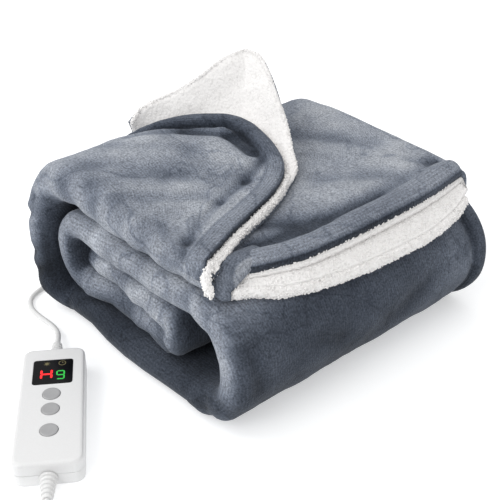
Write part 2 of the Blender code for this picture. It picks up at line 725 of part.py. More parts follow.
def controller(white, grey, dark, rubber):
    carrier = holder("controller", *CONTROLLER_AT, CONTROLLER_TURN)
    outline = rounded_outline(BODY_LENGTH, BODY_WIDTH_NEAR, BODY_WIDTH_FAR, BODY_CORNER)
    shape = slab(outline, 0.0, BODY_SPLIT - AIR / 2.0)
    round_rim(shape, 0.0, BODY_EDGE * 0.6)
    add_piece("controller_base", shape, carrier, (0.0, 0.0, 0.0), white)
    shape = slab(outline, BODY_SPLIT + AIR / 2.0, BODY_HEIGHT)
    round_rim(shape, BODY_HEIGHT, BODY_EDGE)
    top = add_piece("controller_top", shape, carrier, (0.0, 0.0, 0.0), white)

    window = rounded_outline(WINDOW_LENGTH, WINDOW_WIDTH, WINDOW_WIDTH, WINDOW_CORNER, 3)
    room = rounded_outline(WINDOW_LENGTH + 2.0 * AIR, WINDOW_WIDTH + 2.0 * AIR,
                           WINDOW_WIDTH + 2.0 * AIR, WINDOW_CORNER + AIR, 3)
    start = WINDOW_X - WINDOW_LENGTH / 2.0
    cut(top, "window_recess", slab(room, -WINDOW_DEPTH, 4.0), (start - AIR, 0.0, BODY_HEIGHT), white)
    shape = slab(window, AIR - WINDOW_DEPTH, -0.15)
    add_piece("display_window", shape, carrier, (start, 0.0, BODY_HEIGHT), dark)

    for button in BUTTONS:
        pocket = turned([(-POCKET_DEPTH, BUTTON_RADIUS + AIR), (6.0, BUTTON_RADIUS + AIR)], 28)
        bmesh.ops.rotate(pocket, matrix=Matrix.Rotation(-math.pi / 2.0, 3, "Y"), verts=pocket.verts)
        cut(top, button.name + "_pocket", pocket, (button.x, 0.0, BODY_HEIGHT), white)
        cap = turned([(BUTTON_TRAVEL + AIR - POCKET_DEPTH, BUTTON_RADIUS),
                      (BUTTON_PROUD - 0.5, BUTTON_RADIUS),
                      (BUTTON_PROUD - 0.15, BUTTON_RADIUS - 0.2),
                      (BUTTON_PROUD, BUTTON_RADIUS - 0.8)], 28)
        bmesh.ops.rotate(cap, matrix=Matrix.Rotation(-math.pi / 2.0, 3, "Y"), verts=cap.verts)
        add_piece(button.name, cap, carrier, (button.x, 0.0, BODY_HEIGHT), grey)

    relief("mains_relief", carrier, -AIR, -1.0, rubber)
    relief("blanket_relief", carrier, BODY_LENGTH + AIR, 1.0, rubber)
    return carrier


# ------------------------------------------------------------------- cords
def smooth_route(route):
    """Points every so often on a smooth curve through a route's points."""
    points = [Vector(p) for p in route]
    ends = [2.0 * points[0] - points[1]] + points + [2.0 * points[-1] - points[-2]]
    fine = []
    for a, b, c, d in zip(ends, ends[1:], ends[2:], ends[3:]):
        for k in range(12):
            t = k / 12.0
            fine.append(0.5 * (2.0 * b + (c - a) * t + (2.0 * a - 5.0 * b + 4.0 * c - d) * t ** 2
                               + (3.0 * b - a - 3.0 * c + d) * t ** 3))
    fine.append(points[-1])
    run = [0.0]
    for p, q in zip(fine, fine[1:]):
        run.append(run[-1] + (q - p).length)
    count = max(2, round(run[-1] / CORD_PITCH))
    placed, k = [], 0
    for i in range(count + 1):
        along = run[-1] * i / count
        while k < len(run) - 2 and run[k + 1] < along:
            k += 1
        t = (along - run[k]) / (run[k + 1] - run[k])
        placed.append(fine[k].lerp(fine[k + 1], min(1.0, t)))
    return placed


def cord_tube(name, route, finish, carrier=None):
    curve = bpy.data.curves.new(name, "CURVE")
    curve.dimensions = "3D"
    curve.bevel_depth = CORD_RADIUS * MM
    curve.bevel_resolution = 2
    curve.use_fill_caps = True
    points = smooth_route(route)
    line = curve.splines.new("POLY")
    line.points.add(len(points) - 1)
    for point, at in zip(line.points, points):
        point.co = (*(at * MM), 1.0)
    curve.materials.append(finish)
    made = bpy.data.objects.new(name, curve)
    bpy.context.scene.collection.objects.link(made)
    if carrier is None:
        made.location = Vector((*FRONT_CORNER, 0.0)) * MM
    else:
        made.parent = carrier
    return made


def cords(body, rubber, white, steel):
    cord_tube("blanket_lead", BLANKET_LEAD, rubber)
    throw_side = holder("sleeve_side", SLEEVE_AT[0], SLEEVE_AT[1], 90.0)
    sleeve = turned([(0.0, SLEEVE_ROOT - 0.7), (0.7, SLEEVE_ROOT), (5.0, SLEEVE_ROOT),
                     (SLEEVE_LENGTH - 0.5, SLEEVE_TIP), (SLEEVE_LENGTH, SLEEVE_TIP - 0.5)], 16)
    add_piece("lead_sleeve", sleeve, throw_side, (0.0, 0.0, SLEEVE_AT[2]), rubber)

    coil = holder("coil", -COIL_AHEAD, COIL_ASIDE, 180.0, body)
    cord_tube("mains_lead_in", MAINS_IN, rubber, coil)
    cord_tube("mains_lead_out", MAINS_OUT, rubber, coil)
    half = COIL_TURNS * CORD_RADIUS
    height = COIL_LIFT + half
    section = rounded_outline(2.0 * half, 2.0 * half, 2.0 * half, COIL_EDGE, 3)
    ring = bmesh.new()
    loops = []
    steps = 40
    for k in range(steps):
        angle = TURN * k / steps
        loops.append([ring.verts.new(((COIL_RADIUS - half + x) * math.cos(angle),
                                      (COIL_RADIUS - half + x) * math.sin(angle), height + y))
                      for x, y in section])
    for k in range(steps):
        first, second = loops[k - 1], loops[k]
        for j in range(len(section)):
            ring.faces.new((first[j - 1], first[j], second[j], second[j - 1]))
    add_piece("mains_coil", ring, coil, (0.0, 0.0, 0.0), rubber)

    tie = bmesh.new()
    bands = []
    for inset in (COIL_LIFT, COIL_LIFT - TIE_THICK):
        wide = 2.0 * (half + inset)
        line = rounded_outline(wide, wide, wide, COIL_EDGE + inset, 3)
        for y in (-TIE_WIDTH / 2.0, TIE_WIDTH / 2.0):
            bands.append([tie.verts.new((COIL_RADIUS - half - inset + u, y, height + v))
                          for u, v in line])
    count = len(line)
    for first, second in ((0, 1), (1, 3), (3, 2), (2, 0)):
        for j in range(count):
            tie.faces.new((bands[first][j - 1], bands[first][j], bands[second][j], bands[second][j - 1]))
    tie_side = holder("tie_side", 0.0, 0.0, 135.0, coil)
    add_piece("coil_tie", tie, tie_side, (0.0, 0.0, 0.0), rubber)

    last = MAINS_OUT[-1]
    plug_side = holder("plug_side", last.x, last.y, PLUG_TURN, coil)
    shape = slab(rounded_outline(PLUG_LENGTH, 13.0, PLUG_WIDTH, 4.0), 0.0, PLUG_HEIGHT)
    round_rim(shape, PLUG_HEIGHT, 2.5)
    round_rim(shape, 0.0, 1.5)
    add_piece("mains_plug", shape, plug_side, (PLUG_AHEAD, 0.0, 0.0), white)
    length, thick, wide = BLADE
    for number, side in ((1, -1.0), (2, 1.0)):
        blade = bmesh.new()
        bmesh.ops.create_cube(blade, size=1.0)
        bmesh.ops.scale(blade, vec=(length, thick, wide), verts=blade.verts)
        add_piece("plug_blade_%d" % number, blade, plug_side,
                  (PLUG_AHEAD + PLUG_LENGTH + AIR + length / 2.0, side * BLADE_GAP / 2.0, PLUG_HEIGHT / 2.0),
                  steel)


def clear_scene():
    for old in list(bpy.data.objects):
        bpy.data.objects.remove(old, do_unlink=True)


def main():
    clear_scene()
    flannel = material("flannel", (0.115, 0.135, 0.175), 0.9)
    sherpa = material("sherpa", (0.86, 0.85, 0.83), 0.95)
    white = material("white_housing", (0.80, 0.80, 0.80), 0.35)
    grey = material("button_grey", (0.40, 0.40, 0.41), 0.45)
    dark = material("display_black", (0.012, 0.012, 0.014), 0.1)
    rubber = material("cord_white", (0.78, 0.78, 0.77), 0.55)
    steel = material("blade_metal", (0.60, 0.60, 0.58), 0.3, 1.0)
    throw(flannel)
    sherpa_corner(sherpa)
    sherpa_mouth(sherpa)
    body = controller(white, grey, dark, rubber)
    cords(body, rubber, white, steel)


main()
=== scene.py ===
"""Electric heated blanket: a plush flannel and sherpa throw, folded into a strip
and rolled flat, with its white hand controller, its lead and its mains lead.

Sizes in the tables are millimetres in the pile's own frame: the origin is the
point on the table under the pile's front corner, x runs from the left corner to
the front corner, y from the front corner to the right corner, z up.
"""
import math
import random
from collections import namedtuple

import bmesh
import bpy
from mathutils import Matrix, Vector, kdtree, noise


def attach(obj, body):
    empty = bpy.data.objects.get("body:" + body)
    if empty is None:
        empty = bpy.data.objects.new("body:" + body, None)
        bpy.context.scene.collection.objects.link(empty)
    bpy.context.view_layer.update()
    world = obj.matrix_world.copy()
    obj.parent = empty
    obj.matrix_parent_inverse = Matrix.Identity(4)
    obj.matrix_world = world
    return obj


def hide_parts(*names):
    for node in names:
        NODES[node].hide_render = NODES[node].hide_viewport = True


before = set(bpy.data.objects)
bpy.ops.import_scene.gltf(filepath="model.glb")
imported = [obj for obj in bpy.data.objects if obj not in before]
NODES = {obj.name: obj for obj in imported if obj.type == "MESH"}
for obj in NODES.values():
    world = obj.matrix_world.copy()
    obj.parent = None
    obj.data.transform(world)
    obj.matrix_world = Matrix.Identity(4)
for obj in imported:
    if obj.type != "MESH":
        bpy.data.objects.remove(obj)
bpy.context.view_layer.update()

MM = 0.001
TURN = 2.0 * math.pi
BODY = "throw_and_controller"
FRONT_CORNER = Vector((125.8, -77.9, 0.0))   # the pile's origin in the part's frame

# ---------------------------------------------------------------- the throw
SHEET = 6.2                      # flannel and sherpa together
PLY_PITCH = 7.2                  # plies of the strip, middle to middle
STRIP = 3.0 * PLY_PITCH + SHEET  # the throw folded in four across its width
LEVEL_PITCH = STRIP + 3.0
TOP_OF_PLY = STRIP / 2.0 - SHEET / 2.0
EDGE_TIP = 0.9                   # how far a rounded edge reaches, in half sheets

# Folds of the strip, from its inner end outwards.  A run lies flat at one
# level and ends at x; a bend turns between two levels about x and reaches out
# by reach, rounder or boxier by its exponent.
Fold = namedtuple("Fold", "name kind low high x reach boxiness steps")
TAIL_START = -198.0
FOLDS = (
    Fold("tail", "run", 3, 3, -82.0, 0.0, 0.0, 8),
    Fold("tail_bend", "right", 3, 2, -82.0, 15.4, 2.0, 12),
    Fold("second", "run", 2, 2, -200.0, 0.0, 0.0, 8),
    Fold("cuff", "left", 2, 4, -200.0, 28.5, 2.7, 18),
    Fold("fourth", "run", 4, 4, -44.0, 0.0, 0.0, 10),
    Fold("front_wrap", "right", 4, 1, -44.0, 60.0, 2.2, 46),
    Fold("base", "run", 1, 1, -222.0, 0.0, 0.0, 6),
    Fold("left_wrap", "left", 1, 5, -222.0, 36.0, 2.6, 32),
)
LEFT_WRAP = FOLDS[-1]
LEFT_WRAP_END = math.radians(21.8)   # where the top run takes over the bend

# How the strip lies across its width.  mark is the fold's number plus the way
# along it; nose is the folded side, far the other, hem the outermost edge, and
# pitch the distance between the plies.
Lie = namedtuple("Lie", "mark nose far hem pitch")
LIE_COLUMNS = Lie._fields[1:]
LIES = (
    Lie(0.0, 1.0, 300.0, 296.0, PLY_PITCH),
    Lie(1.0, -6.0, 300.0, 296.0, PLY_PITCH),
    Lie(1.5, -8.0, 298.0, 294.0, PLY_PITCH),
    Lie(2.0, -2.0, 300.0, 296.0, PLY_PITCH),
    Lie(2.5, 4.0, 302.0, 298.0, PLY_PITCH),
    Lie(3.0, -3.0, 300.0, 296.0, PLY_PITCH),
    Lie(3.5, -9.0, 297.0, 293.0, PLY_PITCH),
    Lie(4.0, -7.0, 300.0, 296.0, PLY_PITCH),
    Lie(4.5, -8.0, 305.0, 300.0, PLY_PITCH),
    Lie(5.0, -6.0, 309.0, 303.0, 7.4),
    Lie(5.5, -10.0, 312.0, 305.0, 9.6),
    Lie(6.0, -10.0, 309.0, 303.0, 7.4),
    Lie(6.5, -12.0, 306.0, 300.0, PLY_PITCH),
    Lie(7.0, -9.0, 300.0, 292.0, PLY_PITCH),
    Lie(7.5, -22.0, 298.0, 245.0, 9.0),
    Lie(8.0, -19.0, 297.0, 84.0, 11.0),
)

# The top run, place by place.  hem is the edge of the upper pair of plies,
# pulled back across the pile in an S; rim is the outer edge of the turned-out
# ply under it, which stands up at the back as a corner.  The plies lie loose
# on the left, where the strip swells outwards.
Top = namedtuple("Top", "x nose far hem rim_x rim_y rim_z pitch")
TOP_RUN = (
    Top(-256.0, -19.0, 297.0, 84.0, -270.0, 92.0, 150.0, 11.0),
    Top(-252.0, -16.0, 299.0, 97.0, -273.0, 101.0, 158.0, 11.1),
    Top(-246.0, -13.0, 304.0, 114.0, -266.0, 105.0, 160.5, 11.2),
    Top(-239.0, -11.0, 309.0, 136.0, -274.0, 121.0, 165.0, 11.2),
    Top(-230.0, -9.0, 313.0, 160.0, -272.0, 139.0, 170.0, 11.2),
    Top(-222.0, -9.0, 315.0, 173.0, -264.0, 158.0, 176.0, 11.2),
    Top(-212.0, -8.0, 316.0, 184.0, -254.0, 187.0, 190.0, 11.2),
    Top(-204.0, -8.0, 317.0, 188.5, -249.0, 213.0, 203.0, 11.1),
    Top(-196.0, -7.0, 319.0, 191.0, -242.0, 236.0, 207.5, 11.0),
    Top(-184.0, -7.0, 320.0, 192.0, -226.0, 240.0, 206.0, 10.7),
    Top(-168.0, -7.0, 321.0, 190.0, -203.0, 233.0, 196.0, 10.0),
    Top(-150.0, -6.0, 321.0, 186.0, -176.0, 221.0, 180.0, 9.2),
    Top(-134.0, -6.0, 321.0, 180.0, -152.0, 210.0, 164.5, 8.5),
    Top(-118.0, -6.0, 321.0, 172.0, -127.0, 194.0, 149.0, 7.9),
    Top(-102.0, -5.0, 321.0, 159.0, -104.0, 177.0, 143.0, 7.4),
    Top(-90.0, -5.0, 320.0, 143.0, -88.5, 151.0, 141.0, PLY_PITCH),
    Top(-78.0, -4.0, 320.0, 121.0, -75.5, 127.0, 141.0, PLY_PITCH),
    Top(-66.0, -4.0, 320.0, 91.0, -62.0, 95.0, 141.0, PLY_PITCH),
    Top(-54.0, -3.0, 319.0, 58.0, -49.0, 60.5, 141.0, PLY_PITCH),
    Top(-42.0, -2.0, 317.0, 30.0, -36.5, 33.0, 140.7, PLY_PITCH),
    Top(-37.0, -1.0, 316.0, 18.5, -32.0, 21.5, 140.7, PLY_PITCH),
    Top(-32.0, 0.0, 315.0, 9.5, -27.5, 12.5, 138.0, PLY_PITCH),
    Top(-25.0, 3.0, 313.0, 6.0, -20.5, 8.0, 130.0, PLY_PITCH),
)
TOP_STEP = 2.5                   # millimetres between places on the top run
BEND_STEPS = 14                  # places in its part of the left wrap

# The open front end of the top run: how far the upper and the lower ply reach
# along x at each place across the strip, and how far the lower one drops.
Mouth = namedtuple("Mouth", "y upper lower")
MOUTH = (
    Mouth(0.0, -23.0, -20.0),
    Mouth(30.0, -20.0, -12.0),
    Mouth(60.0, -10.0, 2.0),
    Mouth(100.0, -1.0, 10.0),
    Mouth(160.0, 1.0, 15.0),
    Mouth(220.0, 0.0, 16.0),
    Mouth(270.0, -4.0, 10.0),
    Mouth(300.0, -9.0, 0.0),
    Mouth(325.0, -12.0, -8.0),
)
MOUTH_ROOT = -72.0               # where the two plies start to part
SHOULDER = -44.0                 # the lower ply drops past the wrap's shoulder
DROP_CURVE = 0.0052              # by this times the distance squared


def ease(t):
    t = min(1.0, max(0.0, t))
    return t * t * (3.0 - 2.0 * t)


def rise(value, start, width):
    """0 up to start, 1 past start + width, and smooth between."""
    return ease((value - start) / width)


def curve_through(xs, ys, x):
    """A smooth curve through the points of a table, read at x."""
    if x <= xs[0]:
        return ys[0]
    if x >= xs[-1]:
        return ys[-1]
    i = max(k for k in range(len(xs) - 1) if xs[k] <= x)

    def slope(k):
        if k == 0 or k == len(xs) - 1:
            return 0.0
        before = (ys[k] - ys[k - 1]) / (xs[k] - xs[k - 1])
        after = (ys[k + 1] - ys[k]) / (xs[k + 1] - xs[k])
        if before * after <= 0.0:
            return 0.0
        return 2.0 * before * after / (before + after)

    width = xs[i + 1] - xs[i]
    t = (x - xs[i]) / width
    climb = ys[i + 1] - ys[i]
    start, end = slope(i) * width, slope(i + 1) * width
    return (ys[i] + start * t + (3.0 * climb - 2.0 * start - end) * t ** 2
            + (start + end - 2.0 * climb) * t ** 3)


def read(table, key, column, x):
    return curve_through([getattr(row, key) for row in table],
                         [getattr(row, column) for row in table], x)


def level_height(level):
    return STRIP / 2.0 + (level - 1) * LEVEL_PITCH


def bend_heights(fold):
    """The middle height of a bend and half of its rise."""
    low, high = sorted((level_height(fold.low), level_height(fold.high)))
    return (low + high) / 2.0, (high - low) / 2.0


# A place along the strip: its middle, the way out of the cloth there, how it
# lies across, and how far along the sheet it is.
Station = namedtuple("Station", "x z out_x out_z nose far hem pitch swell top along")


def lie_at(table, key, x):
    return [read(table, key, column, x) for column in LIE_COLUMNS]


def swell_of(pitch):
    """Keeps the innermost ply where it is when the plies lie apart."""
    return 3.0 * (pitch - PLY_PITCH)


def bend_point(fold, angle):
    middle, half = bend_heights(fold)
    side = 1.0 if fold.kind == "right" else -1.0
    power = 2.0 / fold.boxiness
    x = fold.x + side * fold.reach * abs(math.cos(angle)) ** power
    return x, middle + half * math.copysign(abs(math.sin(angle)) ** power, math.sin(angle))


def fold_points(fold, x_from):
    """Middle points of one fold with the way along it, its end left out."""
    for i in range(fold.steps):
        way = i / fold.steps
        if fold.kind == "run":
            yield way, x_from + (fold.x - x_from) * way, level_height(fold.low)
        else:
            start = math.pi / 2.0 if fold.kind == "right" else -math.pi / 2.0
            end = LEFT_WRAP_END if fold is LEFT_WRAP else -start
            yield (way,) + bend_point(fold, start + (end - start) * way)


def top_run_height(x):
    out = max(0.0, LEFT_WRAP.x - x) / LEFT_WRAP.reach
    middle, half = bend_heights(LEFT_WRAP)
    return middle + half * (1.0 - out ** LEFT_WRAP.boxiness) ** (1.0 / LEFT_WRAP.boxiness)


def top_run_places():
    """x of the places on the top run: close in the bend, even after it."""
    first, last = TOP_RUN[0].x, TOP_RUN[-1].x
    bend = LEFT_WRAP.x - first
    places = [first + bend * math.sin(math.pi / 2.0 * k / BEND_STEPS) for k in range(BEND_STEPS)]
    count = round((last - LEFT_WRAP.x) / TOP_STEP)
    return places + [LEFT_WRAP.x + (last - LEFT_WRAP.x) * k / count for k in range(count + 1)]


def strip_stations():
    """All stations from the strip's inner end to the mouth."""
    middles, lies = [], []
    x_from = TAIL_START
    for number, fold in enumerate(FOLDS):
        for way, x, z in fold_points(fold, x_from):
            middles.append((x, z))
            lie = lie_at(LIES, "mark", number + way)
            lies.append(lie + [swell_of(lie[3]) if fold is LEFT_WRAP else 0.0, False])
        x_from = fold.x
    for x in top_run_places():
        middles.append((x, top_run_height(x)))
        lie = lie_at(TOP_RUN, "x", x)
        lies.append(lie + [swell_of(lie[3]), True])
    stations, run = [], 0.0
    for i, (x, z) in enumerate(middles):
        before = Vector(middles[max(0, i - 1)])
        after = Vector(middles[min(len(middles) - 1, i + 1)])
        along = (after - before).normalized()
        if i:
            run += (Vector((x, z)) - before).length
        stations.append(Station(x, z, -along.y, along.x, *lies[i], run))
    return stations


def arc(middle, height, radius, start, end, steps):
    """Points of an arc across the strip, both ends included."""
    for i in range(steps + 1):
        angle = math.radians(start + (end - start) * i / steps)
        yield (middle + radius * math.cos(angle), height + radius * math.sin(angle))


# The hem is sewn as a roll: how far the cloth stands out of its flat face, by
# distance from the edge, with the stitched groove behind the roll.
Roll = namedtuple("Roll", "back height")
HEM_ROLL = (Roll(0.0, -0.4), Roll(2.5, 1.4), Roll(7.0, 2.7), Roll(11.0, 2.7), Roll(15.0, 1.3),
            Roll(18.0, -1.4), Roll(20.0, -2.5), Roll(22.0, -2.1), Roll(26.0, -0.6), Roll(32.0, 0.0))
HEM_BACK = HEM_ROLL[-1].back
MOUTH_ROLL = (Roll(0.0, -0.6), Roll(3.0, 1.6), Roll(9.0, 3.9), Roll(16.0, 4.6), Roll(22.0, 3.4),
              Roll(27.0, 0.6), Roll(30.5, -3.4), Roll(33.0, -3.8), Roll(39.0, -2.2), Roll(50.0, 0.0))
EDGE_STEPS = 20                  # places on the hem, and on the four plies
FLAT_STEPS = 56
LOWER_STEPS = 14
UPPER_STEPS = 54
INNER_STEPS = 9
ROUND_STEPS = 9
LOOP_STEPS = 6                   # of the far loop between the lower two plies
THIN_EDGE = 0.6                  # share of the thickness at the hem's very edge
EDGE_ROUND = 4.0
SHORTEST_PLY = 4.0               # what the outermost ply keeps of its length
FULL_HEM = 60.0                  # a shorter ply has a narrower hem
INNER_EDGE = ((2.4, 0.95), (1.0, 0.8), (0.0, 0.5))   # back from it, share there
INNER_BACK = 10.0                # the inner ply's edge behind the hem on top
WIDE_HEM = 250.0                 # past it the strip is covered all across


def across(station):
    """The cloth's middle line across the strip, as (y, out, half thickness, ply).

    It starts at the outermost edge and follows one sheet through its four
    plies.
    """
    half = SHEET / 2.0
    pitch = station.pitch
    ply = [TOP_OF_PLY - k * pitch for k in range(4)]
    turn = station.nose + 1.5 * pitch + half
    middle = TOP_OF_PLY - 1.5 * pitch
    far_turn = station.far - 0.5 * pitch - half
    quarter = 1.5 * pitch * math.pi / 2.0
    line = []

    # outermost ply: hem, flat, and round the nose to its foremost point
    length = max(station.hem - turn + quarter, SHORTEST_PLY)
    shrink = min(1.0, length / FULL_HEM)
    bend = min(quarter, 0.5 * length)
    flat_from = length - HEM_BACK * shrink
    places = []
    for k in range(EDGE_STEPS):
        back = HEM_BACK * k / EDGE_STEPS
        places.append((length - back * shrink, THIN_EDGE + (1.0 - THIN_EDGE) * ease(back / EDGE_ROUND)))
    places += [(bend + (flat_from - bend) * (1.0 - k / FLAT_STEPS), 1.0)
               for k in range(FLAT_STEPS)]
    places += [(bend * (1.0 - k / ROUND_STEPS), 1.0) for k in range(ROUND_STEPS + 1)]
    for place_at, share in places:
        if place_at < quarter:
            angle = math.pi - place_at / (1.5 * pitch)
            y, out = turn + 1.5 * pitch * math.cos(angle), middle + 1.5 * pitch * math.sin(angle)
        else:
            y, out = turn + place_at - quarter, ply[0]
        line.append((y, out, share * half, 0))

    def add(points, number):
        line.extend((y, out, half, number) for y, out in points)

    def between(start, end, steps):
        return [start + (end - start) * k / steps for k in range(1, steps)]

    add(list(arc(turn, middle, 1.5 * pitch, 180.0, 270.0, 8))[1:], 3)
    add([(y, ply[3]) for y in between(turn, far_turn, LOWER_STEPS)], 3)
    loop = list(arc(far_turn, TOP_OF_PLY - 2.5 * pitch, 0.5 * pitch, -90.0, 90.0, LOOP_STEPS))
    for step, point in enumerate(loop):
        add([point], 3.0 - step / LOOP_STEPS)
    add([(y, ply[2]) for y in between(far_turn, turn, UPPER_STEPS)], 2)
    add(arc(turn, middle, 0.5 * pitch, 270.0, 90.0, 4), 1.5)
    if station.top or station.hem <= WIDE_HEM:
        inner_hem = max(station.hem - INNER_BACK, turn + 2.0)
    else:
        inner_hem = station.hem + 2.0
    add([(y, ply[1]) for y in between(turn, inner_hem, INNER_STEPS)], 1)
    for short, share in INNER_EDGE:
        line.append((inner_hem - short, ply[1], half * share, 1))
    return line


def lower_drop(x):
    return DROP_CURVE * max(0.0, x - SHOULDER) ** 2


def part_mouth(x, y, z, ply):
    """Opens the strip's front end: the lower ply reaches out and hangs."""
    if x < MOUTH_ROOT or ply <= 1:
        return x, y, z
    way = rise(x, MOUTH_ROOT, TOP_RUN[-1].x - MOUTH_ROOT)
    upper = read(MOUTH, "y", "upper", y) - TOP_RUN[-1].x
    lower = read(MOUTH, "y", "lower", y) - TOP_RUN[-1].x
    low = max(0.0, ply - 2.0)
    x += way * (upper + (lower - upper) * low) * min(1.0, ply - 1.0)
    return x, y, z - low * lower_drop(x)


def place(station, y, out, ply):
    """A point of the strip's section, put where the strip lies."""
    out += station.swell
    x = station.x + out * station.out_x
    z = station.z + out * station.out_z
    if station.top:
        x, y, z = part_mouth(x, y, z, ply)
    return Vector((x, y, max(z, 0.0)))


def section_ring(station):
    """The cloth's closed outline at a station: points and what each one is.

    Each mark is (side, ply, way along the sheet), the outer side being 1.
    """
    line = across(station)
    outer_side, inner_side, outer_marks, inner_marks = [], [], [], []
    run = 0.0
    for i, (y, out, half, ply) in enumerate(line):
        before, after = line[max(0, i - 1)], line[min(len(line) - 1, i + 1)]
        along = Vector((after[0] - before[0], after[1] - before[1])).normalized()
        side = Vector((along.y, -along.x))
        if i:
            run += math.hypot(y - before[0], out - before[1])
        outer_side.append(place(station, y + side.x * half, out + side.y * half, ply))
        inner_side.append(place(station, y - side.x * half, out - side.y * half, ply))
        outer_marks.append((1.0, ply, run))
        inner_marks.append((0.0, ply, run))
    tips = []
    for (y, out, half, ply), neighbour in ((line[0], line[1]), (line[-1], line[-2])):
        away = Vector((y - neighbour[0], out - neighbour[1])).normalized()
        reach = EDGE_TIP * half
        tips.append(place(station, y + away.x * reach, out + away.y * reach, ply))
    points = [tips[0]] + outer_side + [tips[1]] + inner_side[::-1]
    marks = [(1.0, 0, 0.0)] + outer_marks + [(1.0, 1, run)] + inner_marks[::-1]
    return points, marks


# ------------------------------------------------------------ making meshes
def link(name, data):
    made = bpy.data.objects.new(name, data)
    bpy.context.scene.collection.objects.link(made)
    return made


def mesh_object(name, points, faces, *finishes, turn_out=True):
    """A mesh from points in the pile's millimetres, shaded smooth."""
    mesh = bpy.data.meshes.new(name)
    mesh.from_pydata([tuple((Vector(p) + FRONT_CORNER) * MM) for p in points], [], faces)
    if turn_out:
        shape = bmesh.new()
        shape.from_mesh(mesh)
        bmesh.ops.recalc_face_normals(shape, faces=shape.faces)
        shape.to_mesh(mesh)
        shape.free()
    mesh.shade_smooth()
    for finish in finishes:
        mesh.materials.append(finish)
    return link(name, mesh)


def tube_faces(rings, sides):
    """Faces of a swept round outline with closed ends."""
    faces = []
    for start in range(0, (rings - 1) * sides, sides):
        for k in range(sides):
            a, b = start + k, start + (k + 1) % sides
            faces.append((a, b, b + sides, a + sides))
    faces.append(tuple(range(sides)))
    faces.append(tuple(range(rings * sides - 1, (rings - 1) * sides - 1, -1)))
    return faces


def strip_faces(rings, size):
    """Faces of a swept outline whose two ends are closed edge to edge."""
    half = size // 2
    faces = []
    for i in range(rings - 1):
        for j in range(size):
            a, b = i * size + j, i * size + (j + 1) % size
            faces.append((a, b, b + size, a + size))
    for start in (0, (rings - 1) * size):
        faces.append((start, start + 1, start + size - 1))
        for j in range(1, half - 1):
            faces.append((start + j, start + j + 1, start + size - j - 1, start + size - j))
        faces.append((start + half - 1, start + half, start + half + 1))
    return faces


def slab_faces(rows, columns):
    """Faces of a closed slab between two grids of points, row by row."""
    under = rows * columns
    faces = []
    for i in range(rows - 1):
        for j in range(columns - 1):
            a = i * columns + j
            quad = (a, a + 1, a + 1 + columns, a + columns)
            faces.append(quad)
            faces.append(tuple(under + k for k in reversed(quad)))
    edge = list(range(columns))
    edge += [i * columns + columns - 1 for i in range(1, rows)]
    edge += [(rows - 1) * columns + j for j in range(columns - 2, -1, -1)]
    edge += [i * columns for i in range(rows - 2, 0, -1)]
    for k, a in enumerate(edge):
        b = edge[(k + 1) % len(edge)]
        faces.append((a, under + a, under + b, b))
    return faces


# ------------------------------------------------- creases and rumples
FAR_BACK = 99.0                  # stands for: not near any hem

